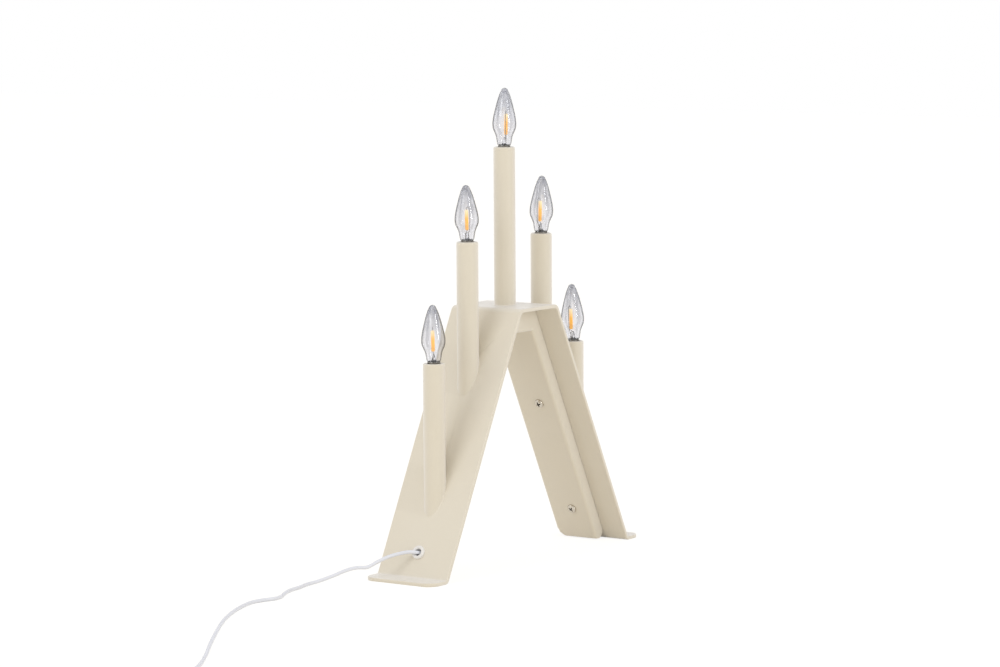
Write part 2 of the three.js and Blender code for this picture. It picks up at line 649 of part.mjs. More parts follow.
function grommetGeometry() {
  return turnedRing([
    [GROMMET_MOUTH_RADIUS, grommetBottom], [GROMMET_FLANGE_RADIUS, grommetBottom],
    [GROMMET_FLANGE_RADIUS, -STRIP_THICKNESS - SEAT_GAP], [GROMMET_NECK_RADIUS, -STRIP_THICKNESS - SEAT_GAP],
    [GROMMET_NECK_RADIUS, SEAT_GAP], [GROMMET_FLANGE_RADIUS, SEAT_GAP],
    [GROMMET_FLANGE_RADIUS, grommetTop - GROMMET_EDGE], [GROMMET_FLANGE_RADIUS - GROMMET_EDGE, grommetTop],
    [GROMMET_MOUTH_RADIUS, grommetTop], [GROMMET_BORE_RADIUS, grommetTop - GROMMET_FLARE],
    [GROMMET_BORE_RADIUS, grommetBottom + GROMMET_FLARE],
  ], GROMMET_SIDES);
}

const blockBack = coverWebDepth - COVER_SHEET - SEAT_GAP;
const blockFront = blockBack - BLOCK_SIZE[2];

function addCableEntry() {
  const place = legGroup(-1, GROMMET_FACE_HEIGHT, 0);
  addMesh(place, 'grommet', grommetGeometry(), 'white');
  const terminals = addMesh(place, 'terminal_block', block(...BLOCK_SIZE), 'white');
  terminals.position.z = -(blockBack + blockFront) / 2;
  candlestick.add(place);
}

// Series wiring: one wire from the block to the first lamp, one from lamp to lamp, and one back
function lampWireEnd({ x, rim, wireSide }, arriving) {
  const end = rim + tagEnd - SEAT_GAP;
  const reach = arriving ? 0 : tagRadius;
  return new THREE.Vector3(x + reach * wireSide.x, reach * wireSide.y, end);
}

function wireInTube(candle, arriving) {
  const sideways = arriving ? -WIRE_OFFSET : WIRE_OFFSET;
  const [x, y] = [candle.x + sideways * candle.wireSide.x, sideways * candle.wireSide.y];
  const top = candle.rim + tagEnd - SEAT_GAP - WIRE_BELOW_SOCKET;
  const through = candle.x === 0 ? STRIP_THICKNESS : WIRE_THROUGH_FRAME / LEG_SINE;
  const heights = [top, candle.foot + WIRE_ABOVE_FRAME, candle.foot - through];
  return [lampWireEnd(candle, arriving), ...heights.map((height) => new THREE.Vector3(x, y, height))];
}

// A wire's loop below a tube, from the height where it leaves the tube to its lane in the channel
function loopBelow(candle, side, tubeY, laneY) {
  const place = (drop, depth, y) => legPoint(side, candle.foot - drop, depth, y);
  return [
    place(LOOP_DROP, WIRE_DEPTH - 1, tubeY), place(LOOP_DEPTH, WIRE_DEPTH, (tubeY + laneY) / 2),
    place(LOOP_DROP, WIRE_DEPTH, laneY), place(LOOP_RETURN, WIRE_DEPTH, laneY),
  ];
}

// From a leg's lane up to a tube that stands on the same leg
function riseTo(candle, side) {
  return [
    legPoint(side, candle.foot - LANE_CHANGE_DROP, WIRE_DEPTH, -WIRE_LANE),
    legPoint(side, candle.foot - WIRE_RISE_DROP, WIRE_DEPTH, -WIRE_OFFSET - 1),
  ];
}

// From the top of a leg's lane across to the middle of the plate
function crossing(side) {
  const underPlate = PLATE_CROSSING.map(([x, y, drop]) => new THREE.Vector3(side * x, y, PLATE_TOP - drop));
  return [legPoint(side, PLATE_TOP - WIRE_PLATE_DROP, WIRE_DEPTH, WIRE_LANE), ...underPlate];
}

const blockDepth = (blockBack + blockFront) / 2;

function wireToFirstLamp(lamp) {
  const blockTop = GROMMET_FACE_HEIGHT + (BLOCK_SIZE[0] / 2 + SEAT_GAP) * LEG_COSINE;
  return [
    legPoint(-1, blockTop, blockDepth, BLOCK_WIRE_LANE),
    legPoint(-1, blockTop + WIRE_ABOVE_FRAME, WIRE_DEPTH, BLOCK_WIRE_LANE),
    legPoint(-1, lamp.foot - WIRE_RISE_DROP, WIRE_DEPTH, 2), ...wireInTube(lamp, true).reverse(),
  ];
}

function returnWire(lamp) {
  const [crossingX, crossingDrop] = RETURN_CROSSING;
  const [blockX, blockY] = [GROMMET_FACE_HEIGHT, BLOCK_SIZE[1] / 2 + SEAT_GAP];
  const underPlate = legSides.map((side) => (
    new THREE.Vector3(-side * crossingX, RETURN_LANE, PLATE_TOP - crossingDrop)
  ));
  return [
    ...wireInTube(lamp, false), ...loopBelow(lamp, 1, WIRE_OFFSET, RETURN_LANE),
    legPoint(1, PLATE_TOP - WIRE_PLATE_DROP, WIRE_DEPTH, RETURN_LANE), ...underPlate,
    legPoint(-1, PLATE_TOP - WIRE_PLATE_DROP, WIRE_DEPTH, RETURN_LANE),
    legPoint(-1, blockX + RETURN_DESCENT[0], WIRE_DEPTH, RETURN_LANE),
    legPoint(-1, blockX + RETURN_DESCENT[1], blockDepth, RETURN_LANE - RETURN_SIDESTEPS[0]),
    legPoint(-1, blockX, blockDepth, blockY + RETURN_SIDESTEPS[1]), legPoint(-1, blockX, blockDepth, blockY),
  ];
}

function addWires() {
  const [low1, high1, centre, high2, low2] = candles;
  const upTo = (candle) => wireInTube(candle, true).reverse();
  const routes = [
    wireToFirstLamp(low1),
    [
      ...wireInTube(low1, false), ...loopBelow(low1, -1, -WIRE_OFFSET, -WIRE_LANE), ...riseTo(high1, -1),
      ...upTo(high1),
    ],
    [
      ...wireInTube(high1, false), ...loopBelow(high1, -1, WIRE_OFFSET, WIRE_LANE), ...crossing(-1),
      ...upTo(centre),
    ],
    [
      ...wireInTube(centre, false), ...crossing(1).reverse(),
      ...loopBelow(high2, 1, WIRE_OFFSET, WIRE_LANE).reverse(), ...upTo(high2),
    ],
    [
      ...wireInTube(high2, false), ...riseTo(high2, 1).reverse(),
      ...loopBelow(low2, 1, -WIRE_OFFSET, -WIRE_LANE).reverse(), ...upTo(low2),
    ],
    returnWire(low2),
  ];
  routes.forEach((route, i) => {
    const length = new THREE.CatmullRomCurve3(route, false, 'centripetal').getLength();
    const steps = Math.round(length / WIRE_STEP);
    addMesh(candlestick, `lead_${i + 1}`, tubeAlong(route, WIRE_RADIUS, WIRE_SIDES, steps), 'black');
  });
}

// Coil: a clockwise spiral that goes in and out again, layer by layer, and climbs where it turns back
function coilPoint(turn) {
  const round = turn % (2 * COIL_TURNS_PER_LAYER);
  const inwards = Math.min(round, 2 * COIL_TURNS_PER_LAYER - round);
  const radius = COIL_OUTER_RADIUS - COIL_PITCH * inwards;
  const layer = Math.round(turn / COIL_TURNS_PER_LAYER);
  const climb = THREE.MathUtils.clamp(2 * (turn - layer * COIL_TURNS_PER_LAYER) + 0.5, 0, 1);
  const eased = (1 - Math.cos(Math.PI * climb)) / 2;
  const steps = layer === 0 ? 0 : layer - 1 + eased;
  const angle = COIL_START_ANGLE - 2 * Math.PI * turn;
  const x = COIL_CENTRE.x + radius * Math.cos(angle);
  const y = COIL_CENTRE.y + radius * Math.sin(angle);
  return new THREE.Vector3(x, y, CORD_ON_FLOOR + COIL_PITCH * steps);
}

const coilSteps = Math.round(COIL_TURNS * COIL_STEPS_PER_TURN);
const coilLoops = Array.from({ length: coilSteps + 1 }, (_, i) => coilPoint(i / COIL_STEPS_PER_TURN));

// The coil's two straight ends, one cord diameter long
function straightEnd(points) {
  const direction = points[0].clone().sub(points[1]).setZ(0).normalize();
  return points[0].clone().addScaledVector(direction, 2 * CORD_RADIUS);
}

const coilStart = straightEnd(coilLoops);
const coilEnd = straightEnd([...coilLoops].reverse());

function leastGapInCoil() {
  let least = Infinity;
  coilLoops.forEach((point, i) => {
    for (let j = i + COIL_STEPS_PER_TURN / 2; j < coilLoops.length; j++) {
      least = Math.min(least, point.distanceTo(coilLoops[j]) - 2 * CORD_RADIUS);
    }
  });
  return least;
}

// From the terminal block out through the grommet, down to the table and away to the coil
function cordRoute() {
  const axisPlace = (out, sideways) => {
    const height = GROMMET_FACE_HEIGHT - CORD_SLANT.down * LEG_COSINE * sideways;
    return legPoint(-1, height, -out, CORD_SLANT.across * sideways);
  };
  const inside = [
    axisPlace(SEAT_GAP - blockFront, -1), axisPlace(-3.4, -0.8), axisPlace(0, 0), axisPlace(2.4, 1.3),
  ];
  const outside = [
    [-131.4, 5.1, 22.6], [-138.4, 11, 21.4], [-146.1, 17.4, 18.8], [-152.6, 22.5, 15.4], [-158.6, 27.3, 12.4],
    [-165.4, 32.8, 10.7], [-171.8, 38.4, 8.4], [-181.5, 46, 4.2], [-191, 53.2, 2],
    [-201.5, 55.5, CORD_ON_FLOOR],
    [-215, 52.2, CORD_ON_FLOOR], [-232.4, 49.4, CORD_ON_FLOOR], [-247, 43.5, CORD_ON_FLOOR],
    [-258.7, 37.6, CORD_ON_FLOOR], [-268, 36.6, CORD_ON_FLOOR], [-278, 40, CORD_ON_FLOOR],
    [-291, 41.3, CORD_ON_FLOOR], [-306, 37.5, CORD_ON_FLOOR], [-330, 28, CORD_ON_FLOOR],
    [-362, 11.5, CORD_ON_FLOOR], [-400, -12.5, CORD_ON_FLOOR], [-442, -40.5, CORD_ON_FLOOR],
    [-486, -71, CORD_ON_FLOOR], [-520, -91.5, CORD_ON_FLOOR], [-556, -105, CORD_ON_FLOOR],
    [-592, -109.5, CORD_ON_FLOOR], [-625, -108.6, CORD_ON_FLOOR],
  ].map(([x, y, z]) => new THREE.Vector3(x, y, z));
  return [...inside, ...outside, meeting(coilStart, coilLoops[0])];
}

// A point at the seat gap beyond an end, on the line that the end runs along
function meeting(end, from) {
  return end.clone().addScaledVector(end.clone().sub(from).normalize(), SEAT_GAP);
}

function plugPlace(back) {
  const away = new THREE.Vector2(back, 0).rotateAround(new THREE.Vector2(), PLUG_HEADING);
  return new THREE.Vector3(PLUG_TAIL_PLACE.x - away.x, PLUG_TAIL_PLACE.y - away.y, PLUG_HEIGHT / 2);
}

function addCord() {
  const route = cordRoute();
  const end = [
    meeting(coilEnd, coilLoops[coilLoops.length - 1]), new THREE.Vector3(-665.8, -108.6, 11.5),
    new THREE.Vector3(-670.2, -118.4, 10), new THREE.Vector3(-666.4, -127.8, 8.3), plugPlace(5 * CORD_RADIUS),
    plugPlace(SEAT_GAP),
  ];
  addMesh(candlestick, 'cord', tubeAlong(route, CORD_RADIUS, CORD_SIDES, CORD_STEPS), 'white');
  const coil = tubeAlong([coilStart, ...coilLoops, coilEnd], CORD_RADIUS, COIL_SIDES, coilSteps);
  addMesh(candlestick, 'cord_coil', coil, 'white');
  addMesh(candlestick, 'cord_end', tubeAlong(end, CORD_RADIUS, CORD_SIDES, CORD_END_STEPS), 'white');
  const lengths = [route, [coilStart, ...coilLoops, coilEnd], end].map((points) => (
    new THREE.CatmullRomCurve3(points, false, 'centripetal').getLength()
  ));
  console.log('cord length in mm:', lengths.map((length) => length.toFixed(0)).join(' + '));
  console.log('least gap in the coil in mm:', leastGapInCoil().toFixed(2));
}

// Flat two-pin plug lying on the table, pointing along +X of its own group
function addPlug() {
  const place = new THREE.Group();
  place.position.set(PLUG_TAIL_PLACE.x, PLUG_TAIL_PLACE.y, PLUG_HEIGHT / 2);
  place.rotation.z = PLUG_HEADING;
  const front = PLUG_TAIL_LENGTH + PLUG_LENGTH;
  const half = [
    [PLUG_TAIL_LENGTH, PLUG_REAR_WIDTH / 2], [PLUG_TAIL_LENGTH + PLUG_REAR_TAPER, PLUG_WIDTH / 2],
    [front - PLUG_FRONT_TAPER, PLUG_WIDTH / 2], [front, PLUG_FRONT_WIDTH / 2],
  ];
  const otherHalf = half.map(([x, y]) => [x, -y]).reverse();
  const outline = [...half, ...otherHalf].map(([x, y]) => new THREE.Vector2(x, y));
  const radii = [...PLUG_CORNER_RADII, ...[...PLUG_CORNER_RADII].reverse()];
  const shape = new THREE.Shape(roundCorners(outline, radii, true));
  const body = new THREE.ExtrudeGeometry(shape, { depth: PLUG_HEIGHT, bevelEnabled: false });
  body.translate(0, 0, -PLUG_HEIGHT / 2);
  const tail = rod(PLUG_TAIL_RADIUS, 0, PLUG_TAIL_LENGTH + JOIN_DEPTH, SCREW_SIDES).rotateY(Math.PI / 2);
  const seats = legSides.map((side) => (
    rod(PIN_RADIUS + SEAT_GAP, front - PIN_SEAT_DEPTH, front + JOIN_DEPTH, SCREW_SIDES).rotateY(Math.PI / 2)
      .translate(0, (side * PIN_SPACING) / 2, 0)
  ));
  const joined = geometryOf(solidOf(body).add(solidOf(tail)));
  addMesh(place, 'plug_body', cut(joined, ...seats), 'white');
  legSides.forEach((side, i) => {
    const start = front - PIN_SEAT_DEPTH + SEAT_GAP;
    const end = front + PIN_LENGTH;
    const pin = addMesh(place, `plug_pin_${i + 1}`, turned([
      [0, start], [PIN_RADIUS, start], [PIN_RADIUS, end - PIN_POINT_LENGTH], [PIN_POINT_RADIUS, end],
      [0, end],
    ], SCREW_SIDES), 'steel');
    pin.rotation.y = Math.PI / 2;
    pin.position.y = (side * PIN_SPACING) / 2;
  });
  candlestick.add(place);
}

addMesh(candlestick, 'frame', frameGeometry(), 'cream');
addMesh(candlestick, 'inner_cover', innerCoverGeometry(), 'cream');
addCoverScrews();
addCandles();
addCableEntry();
addWires();
addCord();
addPlug();

export default candlestick;
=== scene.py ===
# %% [markdown]
# An electric advent candlestick
#
# The object is a lamp made of one bent strip of sheet metal, five upright tubes and five candle
# bulbs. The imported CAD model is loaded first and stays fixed. Each lesson below looks at one
# piece, says how it is made in a workshop, and builds a finer mesh around the same sizes.

from math import acos, atan, copysign, cos, pi, radians, sin, sqrt, tan

import bmesh
import bpy
import numpy as np
from mathutils import Matrix, Vector


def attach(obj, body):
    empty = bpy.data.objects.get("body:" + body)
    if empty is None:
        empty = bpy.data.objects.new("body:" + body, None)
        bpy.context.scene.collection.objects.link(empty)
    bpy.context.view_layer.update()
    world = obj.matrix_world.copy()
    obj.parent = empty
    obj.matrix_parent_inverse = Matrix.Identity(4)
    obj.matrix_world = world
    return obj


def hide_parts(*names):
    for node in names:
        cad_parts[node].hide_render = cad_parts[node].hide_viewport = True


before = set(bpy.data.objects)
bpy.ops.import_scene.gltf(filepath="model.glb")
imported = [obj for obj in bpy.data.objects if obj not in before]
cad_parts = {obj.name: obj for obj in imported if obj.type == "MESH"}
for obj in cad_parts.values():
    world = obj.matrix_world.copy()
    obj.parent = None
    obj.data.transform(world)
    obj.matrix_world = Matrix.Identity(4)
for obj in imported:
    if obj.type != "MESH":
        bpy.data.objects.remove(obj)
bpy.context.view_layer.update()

# %% [markdown]
# Sockets that can be added and multiplied
#
# A node tree is easier to read as a formula than as a net of boxes. Link wraps one output socket,
# so that a + b adds a Math node, and Tree has one method that makes any node, with shorter names
# for the nodes used most. The same two classes serve materials and geometry trees, because both
# know the Math node.

# %% Links and trees
class Link:
    """One output socket of a node, which Python's operators join to further Math nodes."""

    def __init__(self, tree, socket):
        self.tree = tree
        self.socket = socket

    def math(self, operation, *others):
        values = {place: value for place, value in enumerate((self, *others))}
        return self.tree.node("ShaderNodeMath", {"operation": operation}, values)

    def other(self, name):
        return Link(self.tree, self.socket.node.outputs[name])

    def __add__(self, value):
        return self.math("ADD", value)

    __radd__ = __add__

    def __mul__(self, value):
        return self.math("MULTIPLY", value)

    def __sub__(self, value):
        return self.math("SUBTRACT", value)

    def __rsub__(self, value):
        return self.math("MULTIPLY_ADD", -1, value)

    def __truediv__(self, value):
        return self.math("DIVIDE", value)


class Tree:
    """A material's, a world's or a geometry tree, with one method that makes any node."""

    def __init__(self, tree):
        self.tree = tree
        tree.nodes.clear()

    def node(self, kind, settings=None, inputs=None, output=0):
        node = self.tree.nodes.new(kind)
        for name, value in (settings or {}).items():
            if name == "stops":
                self.colour_stops(node.color_ramp, value)
            else:
                setattr(node, name, value)
        for name, value in (inputs or {}).items():
            if isinstance(value, Link):
                self.tree.links.new(value.socket, node.inputs[name])
            else:
                node.inputs[name].default_value = value
        return Link(self, node.outputs[output]) if len(node.outputs) else None

    def colour_stops(self, ramp, stops):
        while len(ramp.elements) < len(stops):
            ramp.elements.new(0.5)
        for element, (place, colour) in zip(ramp.elements, stops):
            element.position = place
            element.color = colour

    def mix_colour(self, factor, first, second):
        settings = {"data_type": "RGBA"}
        return self.node("ShaderNodeMix", settings, {0: factor, 6: first, 7: second}, 2)

    def mix_shader(self, share, first, second):
        return self.node("ShaderNodeMixShader", inputs={0: share, 1: first, 2: second})

    def noise(self, scale, detail, stretch=1):
        """Noise in a piece's own coordinates, which are multiplied by stretch along Z."""
        place = self.node("ShaderNodeTexCoord", output="Object")
        if stretch != 1:
            place = self.node("ShaderNodeMapping", inputs={"Vector": place, "Scale": (1, 1, stretch)})
        return self.node("ShaderNodeTexNoise", inputs={"Vector": place, "Scale": scale, "Detail": detail})

    def facing(self):
        """How far the surface is turned away from the one who looks, from 0 to 1."""
        return self.node("ShaderNodeLayerWeight", inputs={"Blend": 0.5}, output="Facing")

    def bump(self, height, strength, distance):
        inputs = {"Strength": strength, "Distance": distance, "Height": height}
        return self.node("ShaderNodeBump", inputs=inputs)

    def principled(self, inputs):
        return self.node("ShaderNodeBsdfPrincipled", inputs=inputs)

    def point_value(self, name):
        """A value that the points of a mesh carry, for a material."""
        return self.node("ShaderNodeAttribute", {"attribute_name": name}, output="Fac")

    def rule_value(self, name):
        """The same for a geometry tree."""
        return self.node("GeometryNodeInputNamedAttribute", inputs={"Name": name})

    def place_parts(self):
        """The three coordinates of a mesh's points, for a geometry tree."""
        place = self.node("GeometryNodeInputPosition")
        x = self.node("ShaderNodeSeparateXYZ", inputs={0: place}, output="X")
        return x, x.other("Y"), x.other("Z")

    def end_surface(self, shader, kind="Material"):
        """Joins a shader to the output of a material or of the world."""
        self.node(f"ShaderNodeOutput{kind}", inputs={"Surface": shader})


def new_material(name):
    material = bpy.data.materials.new(name)
    material.use_nodes = True
    return material, Tree(material.node_tree)


def placed(name, data):
    """A new object with this data, linked to the scene."""
    thing = bpy.data.objects.new(name, data)
    bpy.context.scene.collection.objects.link(thing)
    return thing


def colour(red, green, blue):
    """A colour from the 0 to 255 values of a screen, in linear light."""
    parts = [part / 255 for part in (red, green, blue)]
    return (*[part / 12.92 if part < 0.04045 else ((part + 0.055) / 1.055) ** 2.4 for part in parts], 1)


# %% [markdown]
# The camera
#
# The photograph was taken with a long lens from the front left corner, a little above the table.
# The place and the lens below were worked out from the frame's edges and the tubes' rims, so the
# model's pixels fall on the photograph's. The image is 1000 pixels wide.

# %% Camera
CAMERA_AZIMUTH = radians(-55.12)
CAMERA_ELEVATION = radians(6.03)
CAMERA_ROLL = radians(-0.326)
CAMERA_DISTANCE = 3.1229
AIM_HEIGHT = 0.18974
AIM_TO_THE_RIGHT = -0.004369
LENS_LENGTH = 134.42
SENSOR_WIDTH = 36


def make_camera():
    back = Vector((
        sin(CAMERA_AZIMUTH) * cos(CAMERA_ELEVATION),
        -cos(CAMERA_AZIMUTH) * cos(CAMERA_ELEVATION),
        sin(CAMERA_ELEVATION),
    ))
    right = Vector((cos(CAMERA_AZIMUTH), sin(CAMERA_AZIMUTH), 0))
    up = back.cross(right)
    place = Vector((0, 0, AIM_HEIGHT)) + right * AIM_TO_THE_RIGHT + back * CAMERA_DISTANCE
    across = right * cos(CAMERA_ROLL) + up * sin(CAMERA_ROLL)
    above = up * cos(CAMERA_ROLL) - right * sin(CAMERA_ROLL)
    camera = placed("camera", bpy.data.cameras.new("camera"))
    camera.data.lens = LENS_LENGTH
    camera.data.sensor_width = SENSOR_WIDTH
    camera.matrix_world = Matrix.Translation(place) @ Matrix((across, above, back)).transposed().to_4x4()
    bpy.context.scene.camera = camera
    return camera


camera = make_camera()
print("camera at", [round(value, 3) for value in camera.location])

# %% [markdown]
# The cord
#
# A 3 mm cord leaves the left leg through a grommet, sinks to the table and runs out of the
# picture. The rest of its 1.8 m lies as a coil beyond the picture's edge, with the plug beside it.
# A cable is one length of something flexible, so it is one smooth curve. Its points are listed
# one by one where it lies loose, and come from a formula in the coil. Bezier handles carry the curve
# evenly through the points, as a centripetal spline does.

# %% Points along the cord, in millimetres
MM = 0.001
CORD_RADIUS = 1.5
CORD_ON_FLOOR = 1.52
COIL_CENTRE = (-652, -86)
COIL_START_ANGLE = radians(270)
COIL_OUTER_RADIUS = 22.25
COIL_PITCH = 3.5
COIL_TURNS = 11
COIL_TURNS_PER_LAYER = 3
COIL_STEPS_PER_TURN = 22
PLUG_TAIL_PLACE = (-648, -132)
PLUG_HEIGHT = 13.7
CORD_END_IN_PLUG = 2
LEG_ANGLE = radians(27)
LEG_SLOPE = tan(LEG_ANGLE)
PLATE_HALF_LENGTH = 27
PLATE_TOP = 214
GROMMET_FACE_HEIGHT = 21.6
SAG_SHARE = 0.54
SIDE_SHARE = 0.84


def leg_outer_x(height):
    return PLATE_HALF_LENGTH + LEG_SLOPE * (PLATE_TOP - height)


def leg_point(side, height, depth, across):
    """A place on a leg: depth goes inwards from its outer face. side is -1 for the left leg."""
    x = side * (leg_outer_x(height) - depth * cos(LEG_ANGLE))
    return (x, across, height - depth * sin(LEG_ANGLE))


def in_grommet(out, sideways):
    """A place on the grommet's axis, or beside it towards where the cord comes out and sags."""
    height = GROMMET_FACE_HEIGHT - SAG_SHARE * cos(LEG_ANGLE) * sideways
    return leg_point(-1, height, -out, SIDE_SHARE * sideways)


IN_THE_AIR = [
    in_grommet(-6.9, -1), in_grommet(-3.4, -0.8), in_grommet(0, 0), in_grommet(2.4, 1.3),
    (-131.4, 5.1, 22.6), (-138.4, 11, 21.4), (-146.1, 17.4, 18.8), (-152.6, 22.5, 15.4),
    (-158.6, 27.3, 11.9), (-165.4, 32.8, 11.9), (-171.8, 38.4, 10.2), (-181.5, 46, 5.9),
    (-191, 53.2, 2.5),
]
ON_THE_TABLE = [
    (-201.5, 55.5), (-215, 52.2), (-232.4, 49.4), (-247, 43.5), (-258.7, 37.6), (-268, 36.6),
    (-278, 40), (-291, 41.3), (-306, 37.5), (-330, 28), (-362, 11.5), (-400, -12.5), (-442, -40.5),
    (-486, -71), (-520, -91.5), (-556, -105), (-592, -109.5), (-625, -108.6),
]
FROM_COIL_TO_PLUG = [(-665.8, -108.6, 11.5), (-670.2, -118.4, 10), (-666.4, -127.8, 8.3)]


def coil_point(turn):
    """A clockwise spiral that goes in and out again, layer by layer, and climbs where it turns."""
    part = turn % (2 * COIL_TURNS_PER_LAYER)
    inwards = min(part, 2 * COIL_TURNS_PER_LAYER - part)
    radius = COIL_OUTER_RADIUS - COIL_PITCH * inwards
    layer = round(turn / COIL_TURNS_PER_LAYER)
    climb = min(max(2 * (turn - layer * COIL_TURNS_PER_LAYER) + 0.5, 0), 1)
    steps = 0 if layer == 0 else layer - 1 + (1 - cos(pi * climb)) / 2
    angle = COIL_START_ANGLE - 2 * pi * turn
    x = COIL_CENTRE[0] + radius * cos(angle)
    y = COIL_CENTRE[1] + radius * sin(angle)
    return (x, y, CORD_ON_FLOOR + COIL_PITCH * steps)


def straight_end(end, before):
    """A point one cord diameter beyond a coil's end, level with it."""
    direction = np.subtract(end, before) * (1, 1, 0)
    return np.add(end, 2 * CORD_RADIUS * direction / np.linalg.norm(direction))


def plug_point(back):
    """A place on the plug's axis, which runs along X, so far behind the end of its tail."""
    return (PLUG_TAIL_PLACE[0] - back, PLUG_TAIL_PLACE[1], PLUG_HEIGHT / 2)


def cord_points():
    steps = range(COIL_TURNS * COIL_STEPS_PER_TURN + 1)
    coil = [coil_point(step / COIL_STEPS_PER_TURN) for step in steps]
    start = straight_end(coil[0], coil[1])
    end = straight_end(coil[-1], coil[-2])
    loose = [*IN_THE_AIR, *[(x, y, CORD_ON_FLOOR) for x, y in ON_THE_TABLE]]
    last = [*FROM_COIL_TO_PLUG, plug_point(5 * CORD_RADIUS), plug_point(-CORD_END_IN_PLUG)]
    return np.array([*loose, start, *coil, end, *last], float)


cord_line = cord_points()
print("cord points", len(cord_line))


# %% The cord's curve
CORD_RING_STEPS = 5
CORD_STEPS_BETWEEN_POINTS = 4


def even_handles(points):
    """Bezier handles that carry a curve evenly through its points, with a centripetal spline's pace."""
    line = [2 * points[0] - points[1], *points, 2 * points[-1] - points[-2]]
    gaps = [sqrt(np.linalg.norm(after - before)) for before, after in zip(line, line[1:])]
    handles = []
    for i in range(1, len(line) - 1):
        before, after = gaps[i - 1], gaps[i]
        back, ahead, over = line[i] - line[i - 1], line[i + 1] - line[i], line[i + 1] - line[i - 1]
        pace = back / before + ahead / after - over / (before + after)
        handles.append((line[i] - pace * before / 3, line[i] + pace * after / 3))
    return handles


def make_cord(points):
    curve = bpy.data.curves.new("cord", "CURVE")
    curve.dimensions = "3D"
    curve.bevel_depth = CORD_RADIUS * MM
    curve.bevel_resolution = CORD_RING_STEPS
    curve.resolution_u = CORD_STEPS_BETWEEN_POINTS
    curve.use_fill_caps = True
    spline = curve.splines.new("BEZIER")
    spline.bezier_points.add(len(points) - 1)
    for knot, point, (left, right) in zip(spline.bezier_points, points, even_handles(points)):
        knot.handle_left_type = knot.handle_right_type = "FREE"
        knot.co = point * MM
        knot.handle_left = left * MM
        knot.handle_right = right * MM
    return placed("mains_cord", curve)


cord = make_cord(cord_line)
print("cord with", len(cord.data.splines[0].bezier_points), "knots")

# %% [markdown]
# A white studio
#
# The photograph shows the candlestick on plain white. Light Path tells the world and the floor
# who looks: the camera, a mirror or a pane of glass gets plain white, and everything else gets a
# soft lamp light, so the background doesn't brighten the object. The floor still lets a
# part of its shaded colour through, which keeps the object's shadow. Its own colour is a little
# warm, for the light that it throws up under the cover and the frame.

# %% World, floor and lamps
WHITE = (1, 1, 1, 1)
AMBIENT_TINT = colour(255, 250, 243)
AMBIENT_STRENGTH = 0.74
FLOOR_TINT = colour(246, 241, 231)
FLOOR_SHADE = 0.28
FLOOR_GLOW = 1.18
FLOOR_HALF_SIZE = 7.0
LAMP_TINT = (0.96, 0.985, 1)
LAMP_AIM = (0, 0, 0.2)


def seen_directly(tree):
    light_path = tree.node("ShaderNodeLightPath", output="Is Camera Ray")
    mirrored = light_path.math("MAXIMUM", light_path.other("Is Glossy Ray"))
    return mirrored.math("MAXIMUM", light_path.other("Is Transmission Ray"))


def make_world():
    world = bpy.data.worlds.new("white_studio")
    bpy.context.scene.world = world
    world.use_nodes = True
    tree = Tree(world.node_tree)
    ambient = {"Color": AMBIENT_TINT, "Strength": AMBIENT_STRENGTH}
    light = tree.node("ShaderNodeBackground", inputs=ambient)
    white = tree.node("ShaderNodeBackground", inputs={"Color": WHITE, "Strength": 1})
    tree.end_surface(tree.mix_shader(seen_directly(tree), light, white), "World")


def make_floor():
    mesh = bpy.data.meshes.new("floor")
    corners = [(-1, -1), (1, -1), (1, 1), (-1, 1)]
    mesh.from_pydata([(x * FLOOR_HALF_SIZE, y * FLOOR_HALF_SIZE, 0) for x, y in corners], [], [(0, 1, 2, 3)])
    material, tree = new_material("white_floor")
    matt = tree.node("ShaderNodeBsdfDiffuse", inputs={"Color": FLOOR_TINT})
    glow = tree.node("ShaderNodeEmission", inputs={"Color": WHITE, "Strength": FLOOR_GLOW})
    tree.end_surface(tree.mix_shader(seen_directly(tree) * (1 - FLOOR_SHADE), matt, glow))
    mesh.materials.append(material)
    placed("floor", mesh)


def make_lamp(name, place, width, height, power):
    lamp = placed(name, bpy.data.lights.new(name, "AREA"))
    lamp.data.color = LAMP_TINT
    lamp.data.shape = "RECTANGLE"
    lamp.data.size = width
    lamp.data.size_y = height
    lamp.data.energy = power
    lamp.location = place
    lamp.rotation_euler = (Vector(LAMP_AIM) - Vector(place)).to_track_quat("-Z", "Y").to_euler()


make_world()
make_floor()
make_lamp("soft_box_left", (-2.5, 0.6, 1.9), 1.4, 1.4, 18)
make_lamp("strip_light_front", (-0.25, -2.6, 1), 0.22, 1.2, 14)
bpy.context.scene.view_settings.view_transform = "Standard"
print("studio ready")

# %% [markdown]
# Making meshes
#
# Every mesh below starts as points in millimetres. make_piece turns them into metres, lets the
# faces point outwards, and shades them smoothly except across sharp folds. A lathe shape is a
# profile turned about the upright axis, and a loft is a skin over a row of rings.

# %% Mesh helpers
SHARP_FOLD = radians(34)
SMALL_SIDES = 40
ON_AXIS = 1e-6


def shade(piece):
    mesh = piece.data
    mesh.polygons.foreach_set("use_smooth", [True] * len(mesh.polygons))
    mesh.set_sharp_from_angle(angle=SHARP_FOLD)
    mesh.update()


def make_piece(name, points, faces, material):
    mesh = bpy.data.meshes.new(name)
    mesh.from_pydata((np.asarray(points, float) * MM).tolist(), [], faces)
    mesh.validate()
    shell = bmesh.new()
    shell.from_mesh(mesh)
    bmesh.ops.recalc_face_normals(shell, faces=shell.faces)
    shell.to_mesh(mesh)
    shell.free()
    mesh.materials.append(material)
    piece = placed(name, mesh)
    shade(piece)
    return piece


def hand_over(piece, body, slot, *nodes):
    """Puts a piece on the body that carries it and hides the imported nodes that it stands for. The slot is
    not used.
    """
    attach(piece, body)
    if nodes:
        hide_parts(*nodes)


